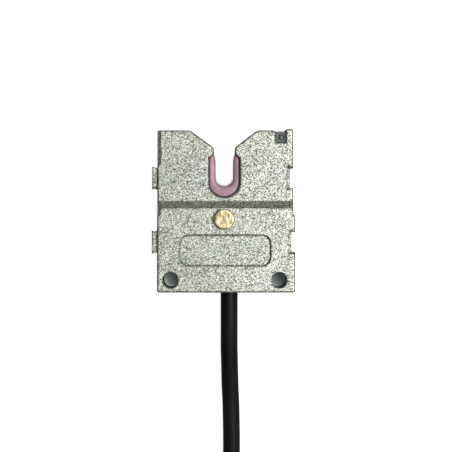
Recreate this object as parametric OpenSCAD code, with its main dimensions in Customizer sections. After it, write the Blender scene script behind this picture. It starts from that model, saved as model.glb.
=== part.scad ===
// Yarn sensor: a two-half die-cast housing that carries a U-shaped ceramic yarn guide on a piezo bender.
// The origin is midway between the two mounting holes, on the back face. +Z points out of the front face
// and +Y towards the yarn slot.

/* [Housing] */
// Mounting hole midpoint to the left side of the lower block
left_side = 19.6; // [19.4:0.1:23]
// Mounting hole midpoint to the right side of the lower block
right_side = 20.4; // [20.2:0.1:24]
// How far the bottom edge lies below the mounting holes
bottom_edge = 3.6; // [3.4:0.1:5]
// Height of the wing tops above the mounting holes
top_edge = 43.5; // [43:0.1:47]
// Thickness of the rear half
rear_h = 7; // [6.6:0.1:7.6]
// Thickness of the whole housing at the upper part
upper_h = 12.4; // [12:0.1:13.4]
// Thickness of the whole housing at the raised lower block
block_h = 15; // [14.4:0.1:17]
// Side wall thickness
wall = 1.6; // [1.2:0.1:1.8]
// Thickness of the rear face
rear_face_t = 2; // [1.4:0.1:2.4]
// Thickness of the front face over the upper part
upper_face_t = 1.8; // [1.2:0.1:2]
// Thickness of the front face over the lower block
block_face_t = 2; // [1.6:0.1:2.6]
// Bevel along the outer edges
edge_bevel = 0.35; // [0.2:0.05:0.6]
// Thickness of the seal between the halves
seal_t = 0.3; // [0.2:0.05:0.6]

/* [Raised block] */
// Height of the shoulder's foot above the mounting holes
shoulder_y = 22.9; // [22.6:0.1:23.2]
// Width of the shoulder's slope in plan
shoulder_run = 2.05; // [1.4:0.05:2.4]
// Height above the mounting holes at which the block gets its full width
neck_y = 18.8; // [17.6:0.1:19.4]
// How far the upper part stands back from the right side of the block
right_step = 0.5; // [0.2:0.05:1]
// Setback of the block's narrow top from the upper part's left side
block_setback = 0.75; // [0.4:0.05:1]
// Corner radius of the block's narrow top
block_corner_r = 1.1; // [0.6:0.1:1.6]
// Radius of the fillet at the foot of the shoulder
foot_fillet = 0.6; // [0.3:0.05:0.8]

/* [Name panel] */
// Width of the recessed panel
panel_w = 26.3; // [20:0.1:28]
// Height of the recessed panel
panel_l = 8.9; // [6:0.1:9.4]
// Corner radius of the recessed panel
panel_r = 2.5; // [1:0.1:2.9]
// Depth of the recessed panel
panel_depth = 0.7; // [0.3:0.05:1]
// Height of the panel's centre above the mounting holes
panel_y = 8.6; // [8:0.1:9]

/* [Wings and mouth] */
// Offset of the slot's centre from the mounting hole midpoint
slot_x = -0.12; // [-0.6:0.02:0.6]
// Where the left wing's flat top ends, left of the midpoint
left_flat_x = 10; // [8:0.1:12]
// Where the right wing's flat top starts, right of the midpoint
right_flat_x = 9.4; // [8:0.1:12]
// Width of the neck between the mouth and the slot
neck_w = 6.1; // [5.4:0.1:6.6]
// Height of the neck's upper end above the mounting holes
neck_top_y = 38.5; // [37.8:0.1:39.5]
// Height at which the guide seat starts to narrow to the neck
seat_top_y = 35.3; // [34:0.1:35.8]
// Rise of the seat's slanted lips
lip_rise = 1.35; // [1:0.05:1.6]
// Width of the worn bevel on the upper left edge
worn_bevel = 1; // [0.5:0.1:1.4]
// Height above the mounting holes at which the worn bevel starts
worn_bevel_y = 33.6; // [33.5:0.1:36]

/* [Yarn guide] */
// Clear width of the yarn slot
slot_w = 5.1; // [4.4:0.1:5.5]
// Height of the slot's floor above the mounting holes
slot_floor_y = 27.4; // [27:0.1:29]
// Corner radius of the slot's floor
slot_floor_r = 2.3; // [1.2:0.1:2.3]
// Thickness of the guide's arms
guide_arm = 1.7; // [1.4:0.1:1.9]
// Thickness of the guide below the slot's floor
guide_base = 3.1; // [2.7:0.1:3.3]
// How far the guide lies below the front and rear faces
guide_recess = 1.1; // [0.6:0.1:1.6]
// Bevel along the guide's inner edges
guide_bevel = 0.35; // [0.2:0.05:0.5]
// Thickness of the rubber sleeve round the guide
sleeve_t = 0.25; // [0.2:0.05:0.5]
// Width of the guide's foot
foot_w = 3; // [2:0.1:4]

/* [Dovetails] */
// Width of a tongue at its outer end
tongue_w = 6.6; // [5:0.1:7]
// Flare of a tongue on each side
tongue_flare = 0.6; // [0.3:0.05:0.9]
// Reach of the tongues of the front half
front_tongue = 1.5; // [1:0.1:1.6]
// Reach of the tongues of the rear half
rear_tongue = 0.7; // [0.4:0.1:1]
// Clearance of a tongue in a groove
dovetail_gap = 0.15; // [0.05:0.05:0.2]
// Height of the upper dovetail above the mounting holes
upper_dovetail_y = 29.7; // [29.4:0.1:30]
// Height of the lower dovetail above the mounting holes
lower_dovetail_y = 11; // [10.6:0.1:11.2]
// How far the tongues stand back from the front and rear faces
tongue_setback = 0.7; // [0.4:0.1:1.2]

/* [Fasteners] */
// Distance between the mounting holes
mount_spacing = 31.4; // [31:0.1:31.8]
// Diameter of the mounting holes
mount_d = 4.5; // [4:0.1:4.8]
// Wall round each mounting hole
mount_wall = 1.5; // [1.2:0.1:1.7]
// Distance across the flats of the cover screw's head
screw_af = 5.5; // [5:0.1:6]
// Height of the cover screw's head
screw_head_h = 1.8; // [1.2:0.1:2.4]
// Diameter of the cover screw
screw_d = 3; // [2.5:0.1:3.2]
// Height of the cover screw above the mounting holes
screw_y = 17.6; // [17:0.1:17.8]
// Wall round the cover screw
screw_wall = 1.3; // [1:0.1:1.4]
// Diameter of the locating pins
pin_d = 2; // [1.6:0.1:2.2]
// Length of the locating pins
pin_l = 6; // [4.4:0.1:7]

/* [Electronics] */
// Thickness of the circuit board
board_t = 1.2; // [0.8:0.1:1.6]
// Height of the board's underside above the back face
board_z = 5.4; // [4.6:0.1:5.6]
// Thickness of the bender's brass shim
shim_t = 0.3; // [0.2:0.05:0.4]
// Length of the bender's brass shim
shim_l = 13; // [11.6:0.1:14]
// Height of the bender's brass shim
shim_h = 4; // [3:0.1:5]
// Thickness of the bender's ceramic
ceramic_t = 0.4; // [0.2:0.05:0.5]
// Diameter of the signal lamp
lamp_d = 1.6; // [1.2:0.1:1.8]
// Width of the lamp pocket
pocket_w = 3.15; // [2.6:0.05:3.3]

/* [Cable] */
// Diameter of the cable
cable_d = 5; // [4:0.1:5.4]
// Offset of the cable from the mounting hole midpoint
cable_x = 1.3; // [0:0.1:2.6]
// Thickness of the collar on the jacket
collar_t = 1.5; // [1:0.1:1.8]
// Diameter of the plug's moulded body
plug_d = 9; // [8:0.1:10]
// Length of the plug's moulded body
plug_body_l = 20; // [18:0.1:26]

/* [Hidden] */
$fn = 48;

// Small clearance between pieces that are slid together, and overshoot of the cuts
gap = 0.05;
cut = 1;

front_z = rear_h + seal_t;
upper_right = right_side - right_step;
upper_roof = upper_h - upper_face_t;
block_roof = block_h - block_face_t;
guide_w = slot_w + 2 * guide_arm;
seat_half = guide_w / 2 + sleeve_t;
guide_bottom_y = slot_floor_y - guide_base;
seat_bottom_y = guide_bottom_y - sleeve_t;
neck_bottom_y = seat_top_y + lip_rise;
mount_boss_r = mount_d / 2 + mount_wall;
screw_boss_r = screw_d / 2 + screw_wall;
pin_boss_r = pin_d / 2 + 1;
cable_z = rear_h + seal_t / 2;

// The raised corner beside the lamp pocket
tab_rise = 0.4;
pocket_left = 14.8;
pocket_right = pocket_left + pocket_w;
pocket_floor_y = top_edge - 3.7;

// Corner radii of the castings: at the bottom corners, at the small corners and inside
outer_r = edge_bevel + 0.35;
edge_r = edge_bevel + 0.15;
room_r = 0.6;
mouth_r = 2;

// Step of the lower room's walls where the block's roof is deeper
room_draft = 0.3;

// Corners of the housing in plan, anticlockwise, each with its corner radius
housing_path = [
    [-left_side, -bottom_edge, outer_r],
    [right_side, -bottom_edge, outer_r],
    [right_side, neck_y, edge_r],
    [upper_right, neck_y + right_step, edge_r],
    [upper_right, top_edge + tab_rise, edge_r],
    [pocket_right - 0.1, top_edge + tab_rise, edge_r],
    [pocket_right - 0.9, top_edge - tab_rise, edge_r],
    [pocket_left, top_edge - tab_rise, edge_r],
    [pocket_left - 0.5, top_edge, edge_r],
    [right_flat_x, top_edge, mouth_r],
    [slot_x + neck_w / 2, neck_top_y, 1.2],
    [slot_x + neck_w / 2, neck_bottom_y, edge_r],
    [slot_x + seat_half, seat_top_y, edge_r],
    [slot_x + seat_half, seat_bottom_y, seat_half - 0.2],
    [slot_x - seat_half, seat_bottom_y, seat_half - 0.2],
    [slot_x - seat_half, seat_top_y, edge_r],
    [slot_x - neck_w / 2, neck_bottom_y, edge_r],
    [slot_x - neck_w / 2, neck_top_y, 1],
    [-left_flat_x, top_edge, mouth_r],
    [-left_side, top_edge, edge_r]];

// The same outline without the small steps, which the inner walls leave out
wall_path = [
    [-left_side, -bottom_edge, wall + room_r],
    [right_side, -bottom_edge, wall + room_r],
    [right_side, neck_y, wall + 0.2],
    [upper_right, neck_y + right_step, edge_r],
    [upper_right, top_edge - tab_rise, wall + room_r],
    [right_flat_x, top_edge - tab_rise, wall + room_r],
    [slot_x + neck_w / 2, neck_top_y - tab_rise, wall + room_r],
    [slot_x + seat_half, seat_top_y, edge_r],
    [slot_x + seat_half, seat_bottom_y, seat_half - 0.2],
    [slot_x - seat_half, seat_bottom_y, seat_half - 0.2],
    [slot_x - seat_half, seat_top_y, edge_r],
    [slot_x - neck_w / 2, neck_top_y - tab_rise, wall + room_r],
    [-left_flat_x, top_edge - tab_rise, wall + room_r],
    [-left_side, top_edge - tab_rise, wall + room_r]];

// Corners of the raised block's full width part in plan
block_path = [
    [-left_side, -bottom_edge, outer_r],
    [right_side, -bottom_edge, outer_r],
    [right_side, neck_y, edge_r],
    [-left_side, neck_y, edge_r]];

screw_x = -0.2;
left_pin = [-13, 34.4];
right_pin = [slot_x + seat_half + wall + 1.2, 35.2];
pin_z = rear_h - pin_l / 2;

// The bender lies across the end of the guide's foot
foot_end_y = seat_bottom_y - wall - 0.5;
foot_h = 3;
foot_z = cable_z - foot_h / 2;
shim_y = foot_end_y - shim_t;
shim_z = cable_z - shim_h / 2;
bender_post_w = 1.5;
bender_post_x = shim_l / 2 - bender_post_w;

// The board stands on three posts, clear of the bosses and of the backing behind the grooves
board_gap = 0.5;
groove_back_x = upper_right - front_tongue - wall;
lower_back_x = right_side - front_tongue - wall;
board_top_z = board_z + board_t;
board_left = -left_side + wall + board_gap;
board_right = groove_back_x - board_gap;
board_bottom_y = mount_boss_r + board_gap;
board_top_y = shim_y - bender_post_w - board_gap;
board_arm_x = right_pin[0] + pin_boss_r + board_gap;
board_arm_top = top_edge - tab_rise - wall - 0.3;
board_screw_spots = [[board_left + 2, board_bottom_y + 2], [board_right - 2, board_bottom_y + 2],
    [board_left + 2, board_top_y - 2], [board_right - 2, upper_dovetail_y + 1.5]];
board_post_r = 1.8;
board_screw_r = 0.9;
board_screw_head_h = 1;
board_screw_slot_w = 0.4;
board_screw_reach = board_z - rear_face_t - 1.2;

lamp_spot = [pocket_left + pocket_w / 2 + 0.1, pocket_floor_y + 1.7];
lamp_base_z = board_top_z + 1.5;
leg_y = board_arm_top - 0.8;
leg_x = 0.45;
leg_r = 0.2;
holder_z = upper_h - 0.8;

// The cable's jacket ends inside, past the rib that the collar is held by
collar_y = -bottom_edge + wall;
rib_y = collar_y + collar_t + gap;
rib_t = 1.3;
rib_half = cable_d / 2 + 2;
collar_wall = 0.85;
jacket_end_y = rib_y + rib_t + 0.6;
core_r = 0.55;
core_pitch = 1.5;
pad_y = board_bottom_y + 2.4;
core_end_y = board_bottom_y + 1.6;

// The cable's route over the surface, from the housing to the coil and from the coil to the plug
lead_route = [
    [1.3, -3.6, 7.15],
    [1.3, -8, 7.15],
    [1.3, -12, 7.1],
    [1.3, -16, 6.8],
    [1.3, -20, 6.2],
    [1.4, -24, 5.3],
    [1.5, -28, 4.3],
    [1.6, -32, 3.4],
    [1.8, -36, 2.8],
    [1.9, -40, 2.5],
    [2, -46, 2.5],
    [2, -52, 2.5],
    [2, -58, 2.5],
    [2, -64, 2.5],
    [2, -70, 2.7],
    [2, -76, 3]];
coil_centre = [-20.4, -87];
coil_outer_turn_r = 27.6;
coil_inner_turn_r = 22.4;
coil_h = 10.2;
tail_route = [
    [-48, -86, 4.4],
    [-48, -85, 4.4],
    [-48, -84, 4.5],
    [-48, -83, 4.5]];
plug_start = tail_route[len(tail_route) - 1];
tie_angle = 300;
tie_w = 8;
tie_t = 0.5;
plug_taper_l = 12;
plug_sleeve_r = 4;
plug_sleeve_l = 8.5;
plug_sleeve_wall = 0.5;
plug_pin_r = 0.5;
plug_pin_circle_r = 1.7;

// Direction of a vector, its left-hand normal, and a corner moved inwards by d
function unit(v) = v / norm(v);
function left_normal(v) = [-v[1], v[0]];
function flat(p) = [p[0], p[1]];
function turn(a, b, c) = cross(b - a, c - b) > 0 ? 1 : -1;
function moved(a, b, c, d) =
    let (n1 = left_normal(unit(b - a)), n2 = left_normal(unit(c - b))) b + d * (n1 + n2) / (1 + n1 * n2);
function previous(path, i) = flat(path[(i + len(path) - 1) % len(path)]);
function next(path, i) = flat(path[(i + 1) % len(path)]);

// A path of corners moved inwards by d, with its corner radii kept concentric
function inset(path, d) = [for (i = [0 : len(path) - 1])
    let (a = previous(path, i), b = flat(path[i]), c = next(path, i), p = moved(a, b, c, d))
    [p[0], p[1], max(0.02, path[i][2] - turn(a, b, c) * d)]];

// The points of a path of corners with each corner rounded by its own radius
function corner_steps(r) = r > 2 ? 16 : 3;
function corner_arc(a, b, c, r, steps) =
    let (u = unit(a - b), v = unit(c - b), half = acos(u * v) / 2)
    let (centre = b + unit(u + v) * r / sin(half), start = b + u * r / tan(half) - centre)
    let (from = atan2(start[1], start[0]), sweep = turn(a, b, c) * (180 - 2 * half))
    [for (k = [0 : steps]) centre + r * [cos(from + sweep * k / steps), sin(from + sweep * k / steps)]];
function rounded(path, ref) = [for (i = [0 : len(path) - 1])
    each corner_arc(previous(path, i), flat(path[i]), next(path, i), path[i][2], corner_steps(ref[i][2]))];

// A solid lofted through convex outlines with the same corners, each level being [path, z]
module loft(levels) {
    rings = [for (l = levels) [for (p = rounded(l[0], levels[0][0])) [p[0], p[1], l[1]]]];
    n = len(rings[0]);
    last = len(levels) - 1;
    sides = [for (k = [0 : last - 1]) for (i = [0 : n - 1])
        [k * n + i, (k + 1) * n + i, (k + 1) * n + (i + 1) % n, k * n + (i + 1) % n]];
    polyhedron([for (r = rings) each r],
        concat([[for (i = [0 : n - 1]) i]], sides, [[for (i = [n - 1 : -1 : 0]) last * n + i]]));
}

// The closed ring that is cut off along an outline's upper edge, at height z, to bevel it
module bevel_ring(path, z) {
    section = [[-gap, -edge_bevel - gap], [edge_bevel + gap, gap], [-gap, gap]];
    rings = [for (q = section) [for (p = rounded(inset(path, q[0]), path)) [p[0], p[1], z + q[1]]]];
    n = len(rings[0]);
    polyhedron([for (r = rings) each r], [for (j = [0 : 2]) for (i = [0 : n - 1])
        [j * n + i, j * n + (i + 1) % n, ((j + 1) % 3) * n + (i + 1) % n, ((j + 1) % 3) * n + i]]);
}

module plate(path, z0, z1) translate([0, 0, z0]) linear_extrude(z1 - z0) polygon(rounded(path, path));

// A round tube swept along a route, one ring at each point, level being a direction it never runs along
function heading(route, i) =
    unit(route[min(i + 1, len(route) - 1)] - route[max(i - 1, 0)]);
function ring(p, t, r, sides, level) =
    let (side = unit(cross(t, level)), up = cross(side, t))
    [for (k = [0 : sides - 1]) p + r * (cos(360 * k / sides) * side + sin(360 * k / sides) * up)];
module tube(route, r, sides, level = [0, 0, 1]) {
    rings = [for (i = [0 : len(route) - 1]) ring(route[i], heading(route, i), r, sides, level)];
    last = len(route) - 1;
    walls = [for (i = [0 : last - 1]) for (k = [0 : sides - 1])
        [i * sides + k, i * sides + (k + 1) % sides, (i + 1) * sides + (k + 1) % sides, (i + 1) * sides + k]];
    polyhedron([for (r = rings) each r],
        concat([[for (k = [sides - 1 : -1 : 0]) k]], walls, [[for (k = [0 : sides - 1]) last * sides + k]]));
}

module rod(p, r, h) translate(p) cylinder(r = r, h = h);
module block(low, high) translate(low) cube(high - low);
module along_y(x, y, z) translate([x, y, z]) rotate([-90, 0, 0]) children();

// A dovetail that starts at a side face and widens as it goes left
module dovetail(side, centre_y, reach, widen, z0, z1) {
    root = tongue_w / 2 - tongue_flare + widen;
    tip = tongue_w / 2 + widen;
    translate([0, 0, z0]) linear_extrude(z1 - z0)
        polygon([[side, centre_y - root], [side, centre_y + root],
            [side - reach, centre_y + tip], [side - reach, centre_y - tip]]);
}

module tongues(reach, z0, upper_z1, lower_z1) {
    dovetail(-left_side + gap, upper_dovetail_y, reach + gap, 0, z0, upper_z1);
    dovetail(-left_side + gap, lower_dovetail_y, reach + gap, 0, z0, lower_z1);
}

module grooves(reach, z0, z1) {
    dovetail(upper_right + gap, upper_dovetail_y, reach + gap + dovetail_gap, dovetail_gap, z0, z1);
    dovetail(right_side + gap, lower_dovetail_y, reach + gap + dovetail_gap, dovetail_gap, z0, z1);
}

module at_mounts() for (x = [-1, 1]) translate([x * mount_spacing / 2, 0, 0]) children();
module at_pins() for (p = [left_pin, right_pin]) translate([p[0], p[1], 0]) children();

// The hollow of the housing in plan, less the bosses and the backing of the grooves, all thicker by d
module room_plan(d = 0) difference() {
    polygon(rounded(inset(wall_path, wall + d), inset(wall_path, wall + d)));
    at_mounts() circle(mount_boss_r + d);
    at_mounts() translate([-mount_boss_r - d, -bottom_edge]) square([2 * (mount_boss_r + d), bottom_edge]);
    translate([screw_x, screw_y]) circle(screw_boss_r + d);
    at_pins() circle(pin_boss_r + d);
    translate([groove_back_x - d, upper_dovetail_y - tongue_w / 2 - wall])
        square([wall + front_tongue, tongue_w + 2 * wall]);
    translate([lower_back_x - d, lower_dovetail_y - tongue_w / 2 - wall])
        square([wall + front_tongue, tongue_w + 2 * wall]);
}

// The rib that holds the collar, on both halves
module collar_rib(z0, z1) block([cable_x - rib_half, rib_y, z0], [cable_x + rib_half, rib_y + rib_t, z1]);

module common_bores(z0, z1) {
    at_mounts() rod([0, 0, z0 - cut], mount_d / 2, z1 - z0 + 2 * cut);
    along_y(cable_x, collar_y, cable_z) cylinder(r = cable_d / 2 + collar_wall + gap, h = collar_t + gap);
    along_y(cable_x, -bottom_edge - cut, cable_z) cylinder(r = cable_d / 2, h = cut + bottom_edge + jacket_end_y);
    block([slot_x - foot_w / 2 - 0.2, foot_end_y, foot_z - 0.2],
        [slot_x + foot_w / 2 + 0.2, slot_floor_y, foot_z + foot_h + 0.2]);
}

module rear_housing() color("#a9ada0") difference() {
    union() {
        difference() {
            union() {
                difference() {
                    plate(housing_path, 0, rear_h);
                    mirror([0, 0, 1]) bevel_ring(housing_path, 0);
                }
                tongues(rear_tongue, tongue_setback, rear_h, rear_h);
            }
            translate([0, 0, rear_face_t]) linear_extrude(rear_h) room_plan();
            grooves(rear_tongue, -cut, rear_h + cut);
        }
        for (p = board_screw_spots) rod([p[0], p[1], rear_face_t - gap], board_post_r, board_z - rear_face_t + gap);
        for (s = [-1, 1]) block(
            [slot_x + s * (bender_post_x + bender_post_w / 2) - bender_post_w / 2, shim_y - bender_post_w,
                rear_face_t - gap],
            [slot_x + s * (bender_post_x + bender_post_w / 2) + bender_post_w / 2, shim_y, shim_z + shim_h]);
        collar_rib(rear_face_t - gap, rear_h);
    }
    common_bores(0, rear_h);
    for (p = board_screw_spots) rod([p[0], p[1], rear_face_t + 0.4], board_screw_r, board_z);
    rod([screw_x, screw_y, rear_face_t - 0.6], screw_d / 2, rear_h);
    at_pins() rod([0, 0, pin_z], pin_d / 2, pin_l);
}

// The outline of the block's narrow part, spread by run past its top edge
function block_ring(run) =
    let (side_run = run * block_setback / shoulder_run, top_y = shoulder_y - shoulder_run)
    [[-left_side + block_setback - side_run, neck_y - 3, 0.5],
        [upper_right - 0.12 + side_run, neck_y - 3, 0.5],
        [upper_right - 0.12 + side_run, top_y + run, block_corner_r],
        [-left_side + block_setback - side_run, top_y + run, block_corner_r]];

// The narrow part of the block, drafted down to a concave fillet at the shoulder's foot
module block_top() {
    slope = atan2(block_h - upper_h, shoulder_run);
    foot = shoulder_run + foot_fillet * tan(slope / 2);
    steps = 4;
    intersection() {
        loft(concat([[block_ring(foot), upper_h - gap]],
            [for (k = [1 : steps]) let (a = slope * k / steps)
                [block_ring(foot - foot_fillet * sin(a)), upper_h + foot_fillet * (1 - cos(a))]],
            [[block_ring(0), block_h]]));
        block([-left_side, 0, front_z], [upper_right, top_edge, block_h + cut]);
    }
}

module front_solid() {
    difference() {
        plate(housing_path, front_z, upper_h);
        bevel_ring(housing_path, upper_h);
    }
    difference() {
        plate(block_path, front_z, block_h);
        bevel_ring(block_path, block_h);
    }
    block_top();
    tongues(front_tongue, front_z, upper_h - tongue_setback, block_h - tongue_setback);
}

module front_housing() color("#b9bdb0") difference() {
    union() {
        difference() {
            front_solid();
            translate([0, 0, front_z - cut]) linear_extrude(upper_roof - front_z + cut) room_plan();
            translate([0, 0, upper_roof - gap]) linear_extrude(block_roof - upper_roof + gap) intersection() {
                room_plan(room_draft);
                translate([-left_side, -bottom_edge])
                    square([left_side + right_side, bottom_edge + shoulder_y - shoulder_run - wall]);
            }
            grooves(front_tongue, front_z - cut, block_h + cut);
            panel_recess();
            worn_edge();
            block([pocket_left, pocket_floor_y, front_z - cut], [pocket_right, top_edge + cut, upper_h + cut]);
        }
        collar_rib(front_z, block_roof + gap);
        rod([screw_x, screw_y, rear_h], screw_boss_r, front_z - rear_h + gap);
        at_pins() rod([0, 0, rear_h], pin_boss_r, front_z - rear_h + gap);
    }
    common_bores(front_z, block_h);
    rod([screw_x, screw_y, 0], screw_d / 2 + gap, block_h + cut);
    at_pins() rod([0, 0, pin_z], pin_d / 2, pin_l);
}

module panel_recess() {
    x0 = (right_side - left_side) / 2 - 0.2 - panel_w / 2;
    y0 = panel_y - panel_l / 2;
    translate([0, 0, block_h - panel_depth]) linear_extrude(panel_depth + cut) polygon(rounded(
        [[x0, y0, panel_r], [x0 + panel_w, y0, panel_r], [x0 + panel_w, y0 + panel_l, panel_r],
            [x0, y0 + panel_l, panel_r]], [for (k = [0 : 3]) [0, 0, 3]]));
}

module worn_edge() {
    reach = top_edge - worn_bevel_y + cut;
    depth = 1.5 * worn_bevel;
    translate([-left_side, top_edge + cut, upper_h]) rotate([90, 0, 0]) linear_extrude(reach)
        polygon([[-cut, cut], [-cut, -depth - 1.5 * cut], [0, -depth], [0.4 * worn_bevel, -0.45 * depth],
            [worn_bevel, 0], [worn_bevel, cut]]);
}

module housing_seal() color("#2b2d2e") difference() {
    translate([0, 0, rear_h]) linear_extrude(seal_t) difference() {
        polygon(rounded(inset(housing_path, 0.15), housing_path));
        room_plan();
        translate([screw_x, screw_y]) circle(screw_boss_r + gap);
        at_pins() circle(pin_boss_r + gap);
    }
    grooves(front_tongue, 0, block_h);
    common_bores(rear_h, front_z);
    rod([screw_x, screw_y, 0], screw_d / 2 + gap, block_h);
    at_pins() rod([0, 0, pin_z], pin_d / 2 + gap, pin_l);
}

module locating_pins() color("#c8cacc") at_pins() rod([0, 0, pin_z + gap], pin_d / 2 - gap, pin_l - 2 * gap);

module cover_screw() color("#cdb56c") {
    bevel = 0.35;
    corner_r = screw_af / sqrt(3);
    flat_r = screw_af / 2 - bevel / 2;
    intersection() {
        rod([screw_x, screw_y, block_h], corner_r, screw_head_h, $fn = 6);
        union() {
            rod([screw_x, screw_y, block_h], corner_r + gap, screw_head_h - bevel);
            translate([screw_x, screw_y, block_h + screw_head_h - bevel])
                cylinder(r1 = flat_r + 2 * bevel, r2 = flat_r, h = bevel);
        }
    }
    rod([screw_x, screw_y, rear_face_t], screw_d / 2 - gap, block_h - rear_face_t + gap);
}

// The plan of the guide's seat, from its floor up to the slanted lips, moved inwards by d
module seat_plan(d) polygon(rounded(
    [[slot_x - seat_half + d, seat_bottom_y + d, seat_half - d - 0.2],
        [slot_x + seat_half - d, seat_bottom_y + d, seat_half - d - 0.2],
        [slot_x + seat_half - d, seat_top_y - 0.4 * d, 0.4],
        [slot_x + neck_w / 2 - 0.1 * d, neck_bottom_y - 1.2 * d, 0.1],
        [slot_x - neck_w / 2 + 0.1 * d, neck_bottom_y - 1.2 * d, 0.1],
        [slot_x - seat_half + d, seat_top_y - 0.4 * d, 0.4]],
    [[0, 0, 3], [0, 0, 3], [0, 0, 0.4], [0, 0, 0.1], [0, 0, 0.1], [0, 0, 0.4]]));

// The plan of the yarn slot with its rounded floor and its flared top, moved outwards by d
module slot_plan(d) polygon(rounded(
    [[slot_x - slot_w / 2 - d, slot_floor_y - d, slot_floor_r + d],
        [slot_x + slot_w / 2 + d, slot_floor_y - d, slot_floor_r + d],
        [slot_x + slot_w / 2 + d, seat_top_y - 0.6, 2],
        [slot_x + neck_w / 2 + d, neck_bottom_y, 0.2],
        [slot_x + neck_w / 2 + d, neck_bottom_y + 3, 0.2],
        [slot_x - neck_w / 2 - d, neck_bottom_y + 3, 0.2],
        [slot_x - neck_w / 2 - d, neck_bottom_y, 0.2],
        [slot_x - slot_w / 2 - d, seat_top_y - 0.6, 2]],
    [[0, 0, 3], [0, 0, 3], [0, 0, 1], [0, 0, 0.2], [0, 0, 0.2], [0, 0, 0.2], [0, 0, 0.2], [0, 0, 1]]));

module yarn_guide() color("#c49aa4") {
    z0 = guide_recess;
    z1 = upper_h - guide_recess;
    steps = 3;
    difference() {
        translate([0, 0, z0]) linear_extrude(z1 - z0) seat_plan(sleeve_t);
        translate([0, 0, z0 - cut]) linear_extrude(z1 - z0 + 2 * cut) slot_plan(0);
        for (k = [1 : steps]) {
            rise = guide_bevel * k / steps;
            spread = guide_bevel * (1 - sqrt(1 - pow(k / steps, 2)));
            translate([0, 0, z1 - guide_bevel + rise]) linear_extrude(cut) slot_plan(spread);
            translate([0, 0, z0 + guide_bevel - rise - cut]) linear_extrude(cut) slot_plan(spread);
        }
    }
    block([slot_x - foot_w / 2, foot_end_y, foot_z], [slot_x + foot_w / 2, guide_bottom_y + 0.5, foot_z + foot_h]);
}

module guide_sleeve() color("#33303a") difference() {
    translate([0, 0, guide_recess]) linear_extrude(upper_h - 2 * guide_recess) difference() {
        seat_plan(gap);
        seat_plan(sleeve_t - gap);
        slot_plan(0.1);
    }
    block([slot_x - foot_w / 2 - 0.2, foot_end_y, foot_z - 0.2],
        [slot_x + foot_w / 2 + 0.2, slot_floor_y, foot_z + foot_h + 0.2]);
}

module bender_shim() color("#d4af5a")
    block([slot_x - shim_l / 2, shim_y, shim_z], [slot_x + shim_l / 2, shim_y + shim_t, shim_z + shim_h]);

module bender_ceramic() color("#e8e4d4") {
    half = bender_post_x - 0.5;
    block([slot_x - half, shim_y - ceramic_t, shim_z + 0.3], [slot_x + half, shim_y, shim_z + shim_h - 0.3]);
}

// Two thin wires from the bender to the board, one from the shim and one from the ceramic
module bender_wires() color("#b03a2e") {
    wire_r = 0.3;
    z = board_top_z + wire_r;
    x1 = slot_x - bender_post_x + 0.6;
    x2 = x1 + 0.8;
    y0 = shim_y - ceramic_t - wire_r;
    y1 = board_top_y - 1.5;
    tube([[x1, y0, z + 1.4], [x1, y0 - 0.6, z + 1], [x1, y1 + 0.8, z + 0.1], [x1, y1, z]], wire_r, 6);
    tube([[x2, y0, z + 1.4], [x2, y0 - 0.6, z + 1], [x2, y1 + 0.8, z + 0.1], [x2, y1, z]], wire_r, 6);
}

module board_plan() difference() {
    polygon([[board_left, board_bottom_y], [board_right, board_bottom_y], [board_right, seat_top_y],
        [pocket_right - 0.3, seat_top_y + 1.5], [pocket_right - 0.3, board_arm_top],
        [board_arm_x, board_arm_top], [board_arm_x, board_top_y], [board_left, board_top_y]]);
    translate([screw_x, screw_y]) circle(screw_boss_r + board_gap);
    translate([screw_x - screw_boss_r - board_gap, screw_y])
        square([2 * (screw_boss_r + board_gap), board_top_y - screw_y + cut]);
}

module circuit_board() color("#2f6b3f") difference() {
    translate([0, 0, board_z]) linear_extrude(board_t) board_plan();
    for (p = board_screw_spots) rod([p[0], p[1], board_z - cut], board_screw_r + gap, board_t + 2 * cut);
    for (x = [-leg_x, leg_x]) rod([lamp_spot[0] + x, leg_y, board_z - cut], leg_r + gap, board_t + 2 * cut);
}

module board_screws() color("#b8babd") for (p = board_screw_spots) {
    translate([p[0], p[1], board_top_z]) difference() {
        cylinder(r = board_post_r, h = board_screw_head_h);
        translate([-board_post_r, -board_screw_slot_w / 2, board_screw_head_h - board_screw_slot_w])
            cube([2 * board_post_r, board_screw_slot_w, cut]);
    }
    rod([p[0], p[1], board_z - board_screw_reach], board_screw_r - gap, board_t + board_screw_reach + gap);
}

// A chip with gull-wing legs on two sides, its centre given on the board
module chip(x, y, l, w, legs) translate([x, y, board_top_z]) {
    pitch = 1.27;
    for (k = [0 : legs - 1]) for (s = [-1, 1])
        translate([(k - (legs - 1) / 2) * pitch - 0.2, s > 0 ? w / 2 - 0.3 : -w / 2 - 0.7, 0]) {
            cube([0.4, 1, 0.25]);
            translate([0, s > 0 ? 0 : 0.6, 0]) cube([0.4, 0.4, 0.9]);
        }
    translate([-l / 2, -w / 2, 0.1]) cube([l, w, 1.5]);
}

chip_y = board_bottom_y + 7.8;
module amplifier_chip() color("#26282a") chip(board_left + 9, chip_y, 8.7, 3.9, 7);
module comparator_chip() color("#26282a") chip(board_right - 8, chip_y, 4.9, 3.9, 4);

module voltage_regulator() color("#2b2d30") translate([board_right - 3.2, board_top_y + 0.4, board_top_z]) {
    translate([-2.2, -1.2, 0.1]) cube([4.5, 2.5, 1.4]);
    for (x = [-1.5, 0, 1.5]) translate([x - 0.2, -2, 0]) cube([0.4, 1.2, 0.3]);
    translate([-0.8, 1, 0]) cube([1.6, 0.9, 0.3]);
}

// A row of small chip parts, one every step along X
module chip_row(x, y, size, count, step) for (k = [0 : count - 1])
    translate([x + k * step, y, board_top_z]) cube(size);

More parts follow.
